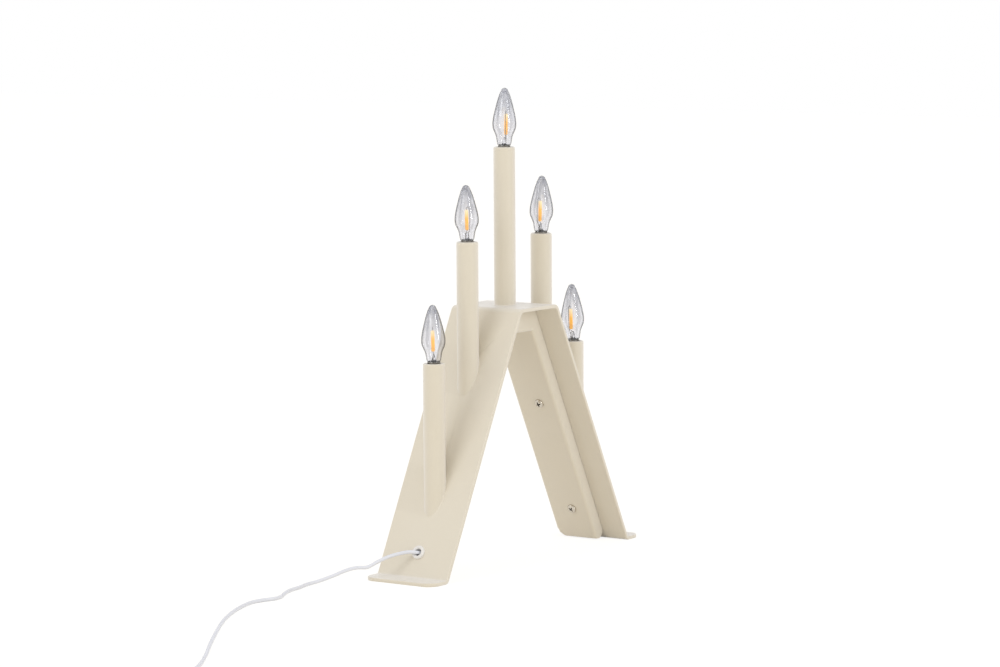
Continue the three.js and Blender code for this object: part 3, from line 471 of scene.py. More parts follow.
def move(piece, place, turn=Matrix()):
    """Turns a piece's mesh about the origin, then moves it to a place in millimetres."""
    piece.data.transform(Matrix.Translation(Vector(place) * MM) @ turn)
    return piece


def mark(piece, name, values):
    """Gives every point of a piece a value that materials and geometry trees can read."""
    piece.data.attributes.new(name, "FLOAT", "POINT").data.foreach_set("value", values)


def turned(profile, sides, ring=False):
    """Turns a profile of (radius, height) about the Z axis. A ring's profile closes on itself."""
    points, rings, faces = [], [], []
    angles = [2 * pi * side / sides for side in range(sides)]
    for radius, height in profile:
        start = len(points)
        if radius < ON_AXIS:
            rings.append([start] * sides)
            points.append((0, 0, height))
        else:
            rings.append(list(range(start, start + sides)))
            points += [(radius * cos(angle), radius * sin(angle), height) for angle in angles]
    pairs = list(zip(rings, rings[1:]))
    if ring:
        pairs.append((rings[-1], rings[0]))
    for low, high in pairs:
        for i in range(sides):
            after = (i + 1) % sides
            corners = list(dict.fromkeys((low[i], low[after], high[after], high[i])))
            if len(corners) > 2:
                faces.append(corners)
    return np.array(points, float), faces


def lathe(name, profile, sides, material, ring=False):
    return make_piece(name, *turned(profile, sides, ring), material)


def marked_ring(name, profile, sides, material, label):
    """A turned ring from rows of (radius, height, value). Its points keep the values as label."""
    piece = lathe(name, [row[:2] for row in profile], sides, material, ring=True)
    mark(piece, label, np.repeat([float(row[2]) for row in profile], sides))
    return piece


def loft(rings, paired_caps=False):
    """A skin over rings with equal numbers of points. Paired caps close a folded sheet's thin ends."""
    count = len(rings[0])
    faces = []
    for low in range(len(rings) - 1):
        for i in range(count):
            after = (i + 1) % count
            low_start, high_start = low * count, (low + 1) * count
            faces.append((low_start + i, low_start + after, high_start + after, high_start + i))
    last = (len(rings) - 1) * count
    for start in (0, last):
        if paired_caps:
            for i in range(count // 2 - 1):
                across = count - 1 - i
                faces.append((start + i, start + i + 1, start + across - 1, start + across))
        else:
            faces.append(tuple(range(start, start + count)))
    return np.array([point for ring in rings for point in ring], float), faces


def arc(centre, radius, start, end, steps):
    """Points of an arc from one angle to another, in degrees."""
    angles = np.radians(np.linspace(start, end, steps + 1))
    return [(centre[0] + radius * cos(angle), centre[1] + radius * sin(angle)) for angle in angles]


def smooth_line(points, steps):
    """Points on an even curve through the given ones, by the same handles as the cord's."""
    knots = np.array(points, float)
    handles = even_handles(knots)
    line = []
    for i in range(len(knots) - 1):
        a, b, c, d = knots[i], handles[i][1], handles[i + 1][0], knots[i + 1]
        for t in np.linspace(0, 1, steps, endpoint=False):
            line.append(a * (1 - t) ** 3 + 3 * b * t * (1 - t) ** 2 + 3 * c * t ** 2 * (1 - t) + d * t ** 3)
    return [*line, knots[-1]]


def bake(piece):
    """Replaces a piece's modifiers by the mesh that they make, and shades it."""
    depsgraph = bpy.context.evaluated_depsgraph_get()
    mesh = bpy.data.meshes.new_from_object(piece.evaluated_get(depsgraph), depsgraph=depsgraph)
    piece.modifiers.clear()
    mesh.name = piece.name
    piece.data = mesh
    shade(piece)


def add_modifier(piece, kind, settings):
    modifier = piece.modifiers.new(kind.lower(), kind)
    for name, value in settings.items():
        setattr(modifier, name, value)


def cut_out(piece, cutters):
    """Cuts other meshes' room out of a piece."""
    for cutter in cutters:
        add_modifier(piece, "BOOLEAN", {"operation": "DIFFERENCE", "solver": "EXACT", "object": cutter})
    bake(piece)
    for cutter in cutters:
        bpy.data.objects.remove(cutter)


def ease_edges(piece, width, fold):
    """A small round along every edge sharper than fold, as plating and handling leave it."""
    add_modifier(piece, "BEVEL", {
        "width": width * MM, "segments": 2, "limit_method": "ANGLE", "angle_limit": radians(fold),
    })
    bake(piece)


# %% [markdown]
# Geometry trees
#
# A geometry tree is a rule with named inputs. apply_rule gives a piece such a rule, sets the
# inputs by their identifiers, and keeps the result as a plain mesh, because an exported model
# has no modifiers and no instances.

# %% Rules with named inputs
def new_rule(name, inputs):
    """An empty rule with these inputs, by their kinds. It always has geometry and a finish too."""
    group = bpy.data.node_groups.new(name, "GeometryNodeTree")
    for label, kind in {"Geometry": "Geometry", **inputs, "Finish": "Material"}.items():
        group.interface.new_socket(label, in_out="INPUT", socket_type=f"NodeSocket{kind}")
    group.interface.new_socket("Geometry", in_out="OUTPUT", socket_type="NodeSocketGeometry")
    tree = Tree(group)
    return group, tree, tree.node("NodeGroupInput", output="Geometry")


def end_rule(tree, given, geometry):
    real = tree.node("GeometryNodeRealizeInstances", inputs={"Geometry": geometry})
    finish = {"Geometry": real, "Material": given.other("Finish")}
    tree.node("NodeGroupOutput", inputs={0: tree.node("GeometryNodeSetMaterial", inputs=finish)})


def end_by_moving(tree, given, x, y, z):
    """Ends a rule that gives every point a new place."""
    place = tree.node("ShaderNodeCombineXYZ", inputs={0: x, 1: y, 2: z})
    moved = {"Geometry": given, "Position": place}
    end_rule(tree, given, tree.node("GeometryNodeSetPosition", inputs=moved))


def apply_rule(piece, group, values):
    modifier = piece.modifiers.new(group.name, "NODES")
    modifier.node_group = group
    for item in group.interface.items_tree:
        if item.name in values:
            modifier[item.identifier] = values[item.name]
    bake(piece)
    return piece


# %% [markdown]
# Powder coat
#
# The frame, the tubes and the cover are coated with one cream powder, melted on in an oven. Such a
# coat is smooth to the finger and slightly wavy to the eye, like the peel of an orange, and a
# little warmer where it lies thick. Two bands of noise make the waves, and a broad one the tint.
# Seen edge on, Layer Weight mixes a paler, cooler painted sheen into the base colour.

# %% Powder coat
CREAM_THICK = colour(225, 218, 202)
CREAM_THIN = colour(229, 223, 210)
CREAM_GRAIN = colour(219, 212, 195)
CREAM_PAINTED_SHEEN = colour(240, 238, 236)
DRIFT_SCALE = 24
PEEL_SCALE = 620
GRAIN_SCALE = 2600
GRAIN_SHARE = 0.5
PEEL_HEIGHT = 0.8
GRAIN_HEIGHT = 0.2
COAT_ROUGHNESS = 0.31
PEEL_ROUGHNESS = 0.12
PEEL_STRENGTH = 0.22
PEEL_DEPTH = 0.00006
PAINTED_SHEEN_SHARPNESS = 1.6
PAINTED_SHEEN_SHARE = 1.05


def powder_coat():
    material, tree = new_material("cream_powder_coat")
    peel = tree.noise(PEEL_SCALE, 1)
    grain = tree.noise(GRAIN_SCALE, 0)
    waves = tree.mix_colour(tree.noise(DRIFT_SCALE, 3), CREAM_THICK, CREAM_THIN)
    coat = tree.mix_colour(grain * GRAIN_SHARE, waves, CREAM_GRAIN)
    # Painted sheen: the base colour turns paler and cooler where the coat is seen edge on.
    painted_sheen = tree.facing().math("POWER", PAINTED_SHEEN_SHARPNESS) * PAINTED_SHEEN_SHARE
    tree.end_surface(tree.principled({
        "Base Color": tree.mix_colour(painted_sheen, coat, CREAM_PAINTED_SHEEN),
        "Roughness": peel * PEEL_ROUGHNESS + COAT_ROUGHNESS,
        "Normal": tree.bump(peel * PEEL_HEIGHT + grain * GRAIN_HEIGHT, PEEL_STRENGTH, PEEL_DEPTH),
    }))
    return material


CREAM = powder_coat()
print("finish", CREAM.name)

# %% [markdown]
# The bent frame
#
# A strip 70 mm wide and 3 mm thick is cut flat, with round corners at both ends, and folded four
# times. It could be bent by a modifier, but a path says it better: the strip's middle line
# is drawn with its bends, and a section with eased edges is carried along it. Where a foot
# ends, the section is narrower, and that draws the round corners.

# %% Path helpers
STRIP_WIDTH = 70
STRIP_THICKNESS = 3
FOOT_REACH = 20.5
FOOT_CORNER_RADIUS = 11
PLATE_BEND_RADIUS = 5.5
FOOT_BEND_RADIUS = 3.5
STRIP_EDGE_RADIUS = 0.7
SHARPEST_EDGE = 0.05
EDGE_STEPS = 4
BEND_STEPS = 12
SUPPORT = 0.8

foot_corner_x = leg_outer_x(STRIP_THICKNESS)
foot_end_x = foot_corner_x + FOOT_REACH
OUTER_FACE = [
    (-foot_end_x, STRIP_THICKNESS), (-foot_corner_x, STRIP_THICKNESS), (-PLATE_HALF_LENGTH, PLATE_TOP),
    (PLATE_HALF_LENGTH, PLATE_TOP), (foot_corner_x, STRIP_THICKNESS), (foot_end_x, STRIP_THICKNESS),
]


def unit(vector):
    return np.asarray(vector, float) / np.linalg.norm(vector)


def offset_path(points, distances):
    """Moves each stretch of a path to the right of its direction, and meets them at mitres."""
    points = np.array(points, float)
    sides = [np.array((along[1], -along[0])) for along in map(unit, points[1:] - points[:-1])]
    moved = []
    for i, point in enumerate(points):
        before, after = max(i - 1, 0), min(i, len(sides) - 1)
        if before == after:
            moved.append(point + sides[before] * distances[before])
        else:
            shift = np.linalg.solve([sides[before], sides[after]], [distances[before], distances[after]])
            moved.append(point + shift)
    return moved


def bend(before, corner, after, radius, steps=BEND_STEPS):
    """Points and headings on the arc that rounds a corner, with one support point on either side."""
    to_before, to_after = unit(np.subtract(before, corner)), unit(np.subtract(after, corner))
    half = acos(np.clip(to_before @ to_after, -1, 1)) / 2
    start = corner + to_before * radius / tan(half)
    end = corner + to_after * radius / tan(half)
    centre = corner + unit(to_before + to_after) * radius / sin(half)
    turn = copysign(pi - 2 * half, -to_before[0] * to_after[1] + to_before[1] * to_after[0])
    places = [(start + to_before * SUPPORT, -to_before)]
    for step in range(steps + 1):
        angle = turn * step / steps
        spin = np.array(((cos(angle), -sin(angle)), (sin(angle), cos(angle))))
        places.append((centre + spin @ (start - centre), spin @ -to_before))
    return [*places, (end + to_after * SUPPORT, to_after)]


print("frame from", round(-foot_end_x, 1), "to", round(foot_end_x, 1), "mm")


# %% The frame's mesh
def strip_section(half_width, half_thickness, radius):
    """A flat section with round edges: (across, above) points, with support beside each round."""
    inner_width, inner_thickness = half_width - radius, half_thickness - radius
    ring = []
    for side_across, side_above, first in ((1, 1, 0), (-1, 1, 90), (-1, -1, 180), (1, -1, 270)):
        centre = (side_across * inner_width, side_above * inner_thickness)
        corner = arc(centre, radius, first, first + 90, EDGE_STEPS)
        support = (side_across * (inner_width - SUPPORT), side_above * half_thickness)
        ring += [*corner, support] if side_across * side_above > 0 else [support, *corner]
    return ring


def end_distances():
    """How far from the strip's end the sections stand: close together in the edge and the corners."""
    edge = [STRIP_EDGE_RADIUS * (1 - cos(radians(angle))) for angle in range(0, 91, 18)]
    corner = [FOOT_CORNER_RADIUS * (1 - cos(radians(angle))) for angle in range(24, 91, 6)]
    return [*edge, *corner, FOOT_CORNER_RADIUS + SUPPORT]


def end_section(distance):
    """The strip's section near an end, narrower in the round corners and thinner at the very edge."""
    reach = FOOT_CORNER_RADIUS - min(distance, FOOT_CORNER_RADIUS)
    width = STRIP_WIDTH / 2 - FOOT_CORNER_RADIUS + sqrt(FOOT_CORNER_RADIUS ** 2 - reach ** 2)
    edge = STRIP_EDGE_RADIUS - min(distance, STRIP_EDGE_RADIUS)
    radius = max(sqrt(STRIP_EDGE_RADIUS ** 2 - edge ** 2), SHARPEST_EDGE)
    return strip_section(width, STRIP_THICKNESS / 2 - STRIP_EDGE_RADIUS + radius, radius)


def frame_rings():
    middle = offset_path(OUTER_FACE, [STRIP_THICKNESS / 2] * 5)
    radii = (FOOT_BEND_RADIUS, PLATE_BEND_RADIUS, PLATE_BEND_RADIUS, FOOT_BEND_RADIUS)
    full = strip_section(STRIP_WIDTH / 2, STRIP_THICKNESS / 2, STRIP_EDGE_RADIUS)
    level = (1, 0)
    left = [(middle[0] + (out, 0), level, end_section(out)) for out in end_distances()]
    bends = [(*place, full) for i, radius in enumerate(radii) for place in bend(*middle[i:i + 3], radius)]
    right = [(middle[-1] - (out, 0), level, end_section(out)) for out in reversed(end_distances())]
    return [
        [(x - rise * above, across, z + run * above) for across, above in section]
        for (x, z), (run, rise), section in [*left, *bends, *right]
    ]


def leg_turn(side):
    """A turn that lays +Z along a leg's outward direction."""
    return Matrix.Rotation(side * (pi / 2 - LEG_ANGLE), 4, "Y")


def on_leg(piece, side, height, across):
    """Moves a piece's mesh from the origin onto a leg's outer face."""
    return move(piece, leg_point(side, height, 0, across), leg_turn(side))


def hole_cutter(radius, bottom, top):
    return lathe("rod", [(0, bottom), (radius, bottom), (radius, top), (0, top)], SMALL_SIDES, CREAM)


CANDLES = [
    {"x": x, "rim": rim, "side": side}
    for x, rim, side in ((-102, 174.5, -1), (-54, 270.5, -1), (0, 346, 0), (54, 270.5, 1), (102, 174.5, 1))
]
for candle in CANDLES:
    candle["foot"] = PLATE_TOP - max(abs(candle["x"]) - PLATE_HALF_LENGTH, 0) / LEG_SLOPE

WIRE_HOLE_RADIUS = 5
GROMMET_HOLE_RADIUS = 4.5
HOLE_MARGIN = 22


def make_frame():
    bent = make_piece("bent_frame", *loft(frame_rings()), CREAM)
    holes = []
    for candle in CANDLES:
        hole = hole_cutter(WIRE_HOLE_RADIUS, -HOLE_MARGIN, HOLE_MARGIN)
        holes.append(move(hole, (candle["x"], 0, candle["foot"])))
    through = hole_cutter(GROMMET_HOLE_RADIUS, -2 * STRIP_THICKNESS, STRIP_THICKNESS)
    holes.append(on_leg(through, -1, GROMMET_FACE_HEIGHT, 0))
    cut_out(bent, holes)
    return bent


bent_frame = make_frame()
hand_over(bent_frame, "root", "powder_coat", "frame")
print("frame", len(bent_frame.data.polygons), "faces")

# %% [markdown]
# The upright tubes
#
# Five tubes of 18 mm stand on the strip. Each is closed at the top by a turned-in rim with a round
# opening for the bulb, and its foot is sawn to the slope that it stands on and welded there. All
# five follow one rule with other numbers, so one geometry tree makes them: a turned profile
# carries an attribute that says whether a point belongs to the rim or to the foot, and the
# tree lifts the one to the rim's height and lays the other on the sloping face.

# %% Tube rule
TUBE_RADIUS = 9
TUBE_WALL = 1.2
RIM_THICKNESS = 1.5
RIM_EDGE_RADIUS = 1.4
RIM_OPENING_RADIUS = 6
RIM_LIP_RADIUS = 0.45
TUBE_SIDES = 96
WELD_LEG = 0.75


def tube_profile():
    """(radius, height, belongs to the foot) from the foot's inner edge round to the rim's underside."""
    bore = TUBE_RADIUS - TUBE_WALL
    weld = arc((TUBE_RADIUS + WELD_LEG, WELD_LEG), WELD_LEG, 270, 180, 5)
    rim = arc((TUBE_RADIUS - RIM_EDGE_RADIUS, -RIM_EDGE_RADIUS), RIM_EDGE_RADIUS, 0, 90, 8)
    lip = arc((RIM_OPENING_RADIUS + RIM_LIP_RADIUS, -RIM_LIP_RADIUS), RIM_LIP_RADIUS, 90, 180, 4)
    foot_part = [(bore, -0.1), (TUBE_RADIUS, -0.1), *weld, (TUBE_RADIUS, WELD_LEG + SUPPORT)]
    rim_part = [
        (TUBE_RADIUS, -RIM_EDGE_RADIUS - SUPPORT), *rim, (TUBE_RADIUS - RIM_EDGE_RADIUS - 0.3, 0),
        (RIM_OPENING_RADIUS + RIM_LIP_RADIUS + 0.2, 0), *lip, (RIM_OPENING_RADIUS, -RIM_THICKNESS),
        (bore, -RIM_THICKNESS),
    ]
    return [(*point, 1) for point in foot_part] + [(*point, 0) for point in rim_part]


def tube_rule():
    numbers = ("Rim Height", "Foot Height", "Foot Slope", "Axis Place")
    group, tree, given = new_rule("upright_tube", dict.fromkeys(numbers, "Float"))
    x, y, z = tree.place_parts()
    at_foot = tree.rule_value("at_foot")
    on_slope = given.other("Foot Height") + x * given.other("Foot Slope") + z
    below_rim = given.other("Rim Height") + z
    height = at_foot * on_slope + (1 - at_foot) * below_rim
    end_by_moving(tree, given, x + given.other("Axis Place"), y, height)
    return group


def make_tube(name, candle, rule):
    tube = marked_ring(name, tube_profile(), TUBE_SIDES, CREAM, "at_foot")
    return apply_rule(tube, rule, {
        "Rim Height": candle["rim"] * MM, "Foot Height": candle["foot"] * MM,
        "Foot Slope": -candle["side"] / LEG_SLOPE, "Axis Place": candle["x"] * MM, "Finish": CREAM,
    })


upright_tube = tube_rule()
for number, candle in enumerate(CANDLES, 1):
    tube = make_tube(f"upright_tube_{number}", candle, upright_tube)
    hand_over(tube, "root", "powder_coat", f"candle_tube_{number}")
print("tubes", len(CANDLES))

# %% [markdown]
# The wiring cover
#
# Inside the legs runs a channel folded from 1 mm sheet: a web towards the table and two flanges
# towards the frame. It follows both legs and crosses under the plate, where it is deeper. One
# section is carried along the path, but each of its points keeps its own path, because the
# flanges' tops follow the frame while the web keeps its own corners.

# %% Cover sizes and section
COVER_SHEET = 1
COVER_LEG_DEPTH = 14.5
COVER_PLATE_DEPTH = 23.5
COVER_FRAME_GAP = 0.25
COVER_FRONT = -12.5
COVER_BACK = 27.5
COVER_FLOOR_GAP = 1
COVER_FOLD_RADIUS = 2.8
COVER_CORNER_RADIUS = 6
WEB_CORNER_RADIUS = 6
WEB_BEND_RADIUS = 1
FRAME_CORNER_RADIUS = 4.3
COVER_ENDS_BELOW = -20
STRAIGHT_FROM = 18
COVER_ARC_STEPS = 6
LEG_FLANGE = COVER_LEG_DEPTH - STRIP_THICKNESS - COVER_FRAME_GAP
PLATE_FLANGE = COVER_PLATE_DEPTH - STRIP_THICKNESS - COVER_FRAME_GAP
WEB_CORNER_START = COVER_BACK - COVER_FOLD_RADIUS - WEB_CORNER_RADIUS
cover_end_x = leg_outer_x(COVER_ENDS_BELOW)
SPINE = [(-cover_end_x, COVER_ENDS_BELOW), *OUTER_FACE[2:4], (cover_end_x, COVER_ENDS_BELOW)]
WEB_SHARES = (0.98, 0.9, 0.75, 0.55, 0.3, 0)


def flange_heights():
    """Heights above the web where a flange has points: close together near its round lower corner."""
    middle = LEG_FLANGE - COVER_CORNER_RADIUS
    angles = range(-12, 91, 17)
    return [middle + COVER_CORNER_RADIUS * sin(radians(angle)) for angle in angles]


def cover_section(inset):
    """(across, height above the web's face) from the back flange's top round to the front one's."""
    radius = COVER_FOLD_RADIUS - inset
    heights = flange_heights()
    back_centre = (COVER_BACK - COVER_FOLD_RADIUS, COVER_FOLD_RADIUS)
    front_centre = (COVER_FRONT + COVER_FOLD_RADIUS, COVER_FOLD_RADIUS)
    fold_back = arc(back_centre, radius, 0, -90, COVER_ARC_STEPS)
    fold_front = arc(front_centre, radius, 270, 180, COVER_ARC_STEPS)
    web = [(WEB_CORNER_START + WEB_CORNER_RADIUS * share, inset) for share in WEB_SHARES]
    web += [(COVER_FRONT + COVER_FOLD_RADIUS + SUPPORT, inset)]
    back = [(COVER_BACK - inset, height) for height in reversed(heights)]
    front = [(COVER_FRONT + inset, height) for height in heights]
    return [*back, *fold_back, *web, *fold_front, *front]


def lower_end(across, height):
    """How high above the table the sheet's lower edge lies for a point of the section."""
    up = height - (LEG_FLANGE - COVER_CORNER_RADIUS)
    lowest = COVER_FLOOR_GAP
    if up > -COVER_CORNER_RADIUS * sin(LEG_ANGLE):
        drop = sqrt(max(COVER_CORNER_RADIUS ** 2 - up ** 2, 0)) * cos(LEG_ANGLE)
        lowest = COVER_FLOOR_GAP + COVER_CORNER_RADIUS + up * sin(LEG_ANGLE) - drop
    out = min(max(across - WEB_CORNER_START, 0), WEB_CORNER_RADIUS)
    lift = WEB_CORNER_RADIUS - sqrt(WEB_CORNER_RADIUS ** 2 - out ** 2)
    return max(lowest, COVER_FLOOR_GAP + lift)


# %% The cover's mesh
def cover_line(across, height):
    """The path that one point of the section follows, from the left leg's foot to the right one's."""
    share = max(height - COVER_FOLD_RADIUS, 0) / (LEG_FLANGE - COVER_FOLD_RADIUS)
    at_plate = height + share * (PLATE_FLANGE - LEG_FLANGE)
    radius = (1 - share) * (WEB_BEND_RADIUS + min(height, COVER_FOLD_RADIUS)) + share * FRAME_CORNER_RADIUS
    leg_depth = COVER_LEG_DEPTH - height
    line = offset_path(SPINE, [leg_depth, COVER_PLATE_DEPTH - at_plate, leg_depth])
    low = lower_end(across, height)
    left, right = [
        [end + (corner - end) * (z - end[1]) / (corner[1] - end[1]) for z in (low, low + 1, STRAIGHT_FROM)]
        for end, corner in ((line[0], line[1]), (line[3], line[2]))
    ]
    arcs = [point for i in (0, 1) for point, _ in bend(*line[i:i + 3], radius, COVER_ARC_STEPS)]
    return [*left, *arcs, *reversed(right)]


def make_cover():
    section = [*cover_section(0), *reversed(cover_section(COVER_SHEET))]
    lines = [cover_line(across, height) for across, height in section]
    rings = []
    for station in range(len(lines[0])):
        rings.append([
            (line[station][0], across, line[station][1]) for (across, _), line in zip(section, lines)
        ])
    return make_piece("wiring_cover", *loft(rings, paired_caps=True), CREAM)


wiring_cover = make_cover()
hand_over(wiring_cover, "root", "powder_coat", "inner_cover")
print("cover", len(wiring_cover.data.polygons), "faces")

# %% [markdown]
# Metal, glass and plastic
#
# The small parts need nine more finishes. Plated metal is one shader with full metallic, and fine
# scratches in its roughness, with a painted shade in the screws' cross recesses. Clear glass is so
# thin that only its outline shows: Layer Weight finds the places where the wall is seen edge on, and
# a painted grey with streaks and a painted dark outline are mixed in there, for what the glass
# reflects and bends. White plastic, black plastic and the cord's sheath differ in gloss and grain,
# and the filament's amber coat has a small painted glow.

# %% Finishes of the small parts
PAINTED_RECESS_SHADE = colour(62, 58, 54)
SPOT_SCALE = 380
SCRATCH_DEPTH = 0.00003
SCRATCH_STRETCH = 5
SCRATCH_ROUGHNESS = 0.2
CLOUD_SCALE = 60
PORE_DEPTH = 0.00004
PORE_ROUGHNESS = 0.1


def metal(name, tint, shade_tint, roughness, scratch_scale, dents=0.15):
    material, tree = new_material(name)
    scratches = tree.noise(scratch_scale, 5, SCRATCH_STRETCH)
    spotted = tree.mix_colour(tree.noise(SPOT_SCALE, 2), tint, shade_tint)
    # Painted shade: points marked as recess get a dark base colour.
    tree.end_surface(tree.principled({
        "Base Color": tree.mix_colour(tree.point_value("recess"), spotted, PAINTED_RECESS_SHADE), "Metallic": 1,
        "Roughness": scratches * SCRATCH_ROUGHNESS + roughness,
        "Normal": tree.bump(scratches, dents, SCRATCH_DEPTH),
    }))
    return material


def plastic(name, tint, shade_tint, roughness, grain_scale, grain=0.12):
    material, tree = new_material(name)
    pores = tree.noise(grain_scale, 2)
    tree.end_surface(tree.principled({
        "Base Color": tree.mix_colour(tree.noise(CLOUD_SCALE, 2), tint, shade_tint),
        "Roughness": pores * PORE_ROUGHNESS + roughness, "Normal": tree.bump(pores, grain, PORE_DEPTH),
    }))
    return material


GLASS_INDEX = 1.46
PANE_TINT = colour(252, 252, 254)
# Painted grey and painted dark outline of the glass, for what it reflects and bends.
PAINTED_GREY_TINT = colour(146, 150, 166)
PAINTED_OUTLINE_TINT = colour(60, 60, 66)
STREAK_SCALE = 420
STREAK_STRETCH = 0.1
STREAK_CONTRAST = 2.4
STREAK_GAPS = 0.2
PAINTED_GREY_ROUGHNESS = 0.6
PAINTED_GREY_AT_NECK = 0.5
PAINTED_GREY_GROWTH = 0.8
PAINTED_GREY_STOPS = [(0, 0.06), (0.04, 0.08), (0.09, 0.15), (0.22, 0.19), (0.3, 0.03), (0.34, 0), (1, 0)]
TIP_PAINTED_GREY_STOPS = [(0, 0), (0.55, 0), (0.8, 0.07), (1, 0.1)]
PAINTED_OUTLINE_STOPS = [(0, 0), (0.57, 0), (0.7, 0.6), (1, 0.75)]


def share_by(tree, value, stops):
    """A share that follows a value, from a few (value, share) stops."""
    ramp = [(place, (share, share, share, 1)) for place, share in stops]
    return tree.node("ShaderNodeValToRGB", {"stops": ramp}, {0: value})


def clear_glass():
    material, tree = new_material("thin_clear_glass")
    streaks = tree.noise(STREAK_SCALE, 1, STREAK_STRETCH)
    pane = tree.principled({
        "Base Color": PANE_TINT, "Roughness": 0, "Transmission Weight": 1, "IOR": GLASS_INDEX,
    })
    # Matt painted grey and painted dark outline; the grey grows at the edges, towards the tip and in vertical
    # streaks.
    painted_grey, outline = [
        tree.principled({"Base Color": tint, "Roughness": PAINTED_GREY_ROUGHNESS, "Specular IOR Level": 0})
        for tint in (PAINTED_GREY_TINT, PAINTED_OUTLINE_TINT)
    ]
    facing = tree.facing()
    along = tree.point_value("along")
    edge_painted_grey = share_by(tree, facing, PAINTED_GREY_STOPS) * (along * PAINTED_GREY_GROWTH + PAINTED_GREY_AT_NECK)
    even_painted_grey = edge_painted_grey + share_by(tree, along, TIP_PAINTED_GREY_STOPS)
    greyed_pane = tree.mix_shader(even_painted_grey * (streaks * STREAK_CONTRAST - STREAK_GAPS), pane, painted_grey)
    tree.end_surface(tree.mix_shader(share_by(tree, facing, PAINTED_OUTLINE_STOPS), greyed_pane, outline))
    return material


AMBER_DEEP = colour(255, 190, 78)
AMBER_DARK = colour(252, 178, 66)
AMBER_PALE = colour(255, 232, 184)
AMBER_PAINTED_GLOW = 0.62
AMBER_ROUGHNESS = 0.45
PALE_FROM = 0.55
LUMP_SCALE = 900
LUMP_STRENGTH = 0.3
LUMP_DEPTH = 0.0001


def amber_coating():
    """The yellow coat of a filament rod, paler towards its upper end, with a small painted glow."""
    material, tree = new_material("amber_coating")
    lumps = tree.noise(LUMP_SCALE, 2)
    deep = tree.mix_colour(lumps, AMBER_DEEP, AMBER_DARK)
    reach = {"Value": tree.point_value("along"), "From Min": PALE_FROM}
    tint = tree.mix_colour(tree.node("ShaderNodeMapRange", inputs=reach), deep, AMBER_PALE)
    # The emission is a painted glow, since the bulb is not lit.
    tree.end_surface(tree.principled({
        "Base Color": tint, "Roughness": AMBER_ROUGHNESS, "Emission Color": tint,
        "Emission Strength": AMBER_PAINTED_GLOW, "Normal": tree.bump(lumps, LUMP_STRENGTH, LUMP_DEPTH),
    }))
    return material


ZINC = metal("bright_zinc_plating", colour(214, 206, 192), colour(186, 178, 164), 0.1, 900)
NICKEL = metal("nickel_plating", colour(172, 169, 164), colour(144, 142, 138), 0.2, 1300)
BRASS = metal("stamped_brass", colour(214, 182, 112), colour(176, 140, 78), 0.28, 700)
SOLDER = metal("dull_solder", colour(184, 185, 188), colour(150, 151, 155), 0.42, 500, 0.4)
WHITE_PLASTIC = plastic("glossy_white_plastic", colour(238, 237, 236), colour(232, 231, 230), 0.2, 500)
BLACK_PLASTIC = plastic("black_insulation", colour(44, 43, 42), colour(34, 33, 32), 0.4, 900)
SHEATH = plastic("white_cord_sheath", colour(233, 237, 248), colour(225, 229, 241), 0.42, 1600, 0.2)
GLASS = clear_glass()
AMBER = amber_coating()
cord.data.materials.append(SHEATH)
print("finishes", len(bpy.data.materials))

# %% [markdown]
# Cover screws and their bosses
#
# Four pan-head screws hold the cover. A factory makes one screw a thousand times, so one mesh is
# turned on the lathe and its cross recess is cut once. A geometry tree then puts it on four
# points. Each point carries which leg it is on and how far its screw is turned, since no two
# screws stop at the same angle. The same tree sets the threaded bosses that they go into.

# %% One screw and one boss
SCREW_RADIUS = 1.9
SCREW_LENGTH = 8
SCREW_HEAD_RADIUS = 4
SCREW_HEAD_HEIGHT = 2.4
SCREW_SEAT_DEPTH = 14.5
SCREW_Y = 4
SCREW_PLACES = [(-1, 131.3, 25), (-1, 34.6, 70), (1, 131.3, 12), (1, 34.6, 48)]
RECESS_LENGTH = 5.2
RECESS_WIDTH = 1.3
RECESS_DEPTH = 2.1
RECESS_MARGIN = 0.25
BLADE_ABOVE = 0.6
BLADE_TAPER = 0.55
SCREW_SIDES = 48
SCREW_EDGE_WIDTH = 0.08
SCREW_EDGE_FOLD = 40
SCREW_CROWN = [
    (1, 0), (1, 0.45), (0.985, 0.9), (0.94, 1.35), (0.85, 1.76), (0.7, 2.08), (0.45, 2.32),
    (0.2, SCREW_HEAD_HEIGHT), (0, SCREW_HEAD_HEIGHT),
]
SCREW_SHANK = [
    (0, -SCREW_LENGTH), (0.6 * SCREW_RADIUS, -SCREW_LENGTH), (SCREW_RADIUS, 0.7 - SCREW_LENGTH),
    (SCREW_RADIUS, 0),
]
BOSS_RADIUS = 4
BOSS_BORE_RADIUS = 2.2
BOSS_REACH = 13.4 - STRIP_THICKNESS
BOSS_WELD = 0.8
BOSS_CHAMFER = 0.4
BORE_CHAMFER = 0.3


def recess_blade():
    """One bar of the cross recess, which starts above the head and is narrower at its lower end."""
    points = []
    top = SCREW_HEAD_HEIGHT + BLADE_ABOVE
    for share, z in ((1, top), (BLADE_TAPER, top - (RECESS_DEPTH + BLADE_ABOVE))):
        x, y = share * RECESS_LENGTH / 2, (0.75 + 0.25 * share) * RECESS_WIDTH / 2
        points += [(-x, -y, z), (x, -y, z), (x, y, z), (-x, y, z)]
    faces = [(0, 1, 2, 3), (4, 7, 6, 5), (0, 4, 5, 1), (1, 5, 6, 2), (2, 6, 7, 3), (3, 7, 4, 0)]
    return points, faces


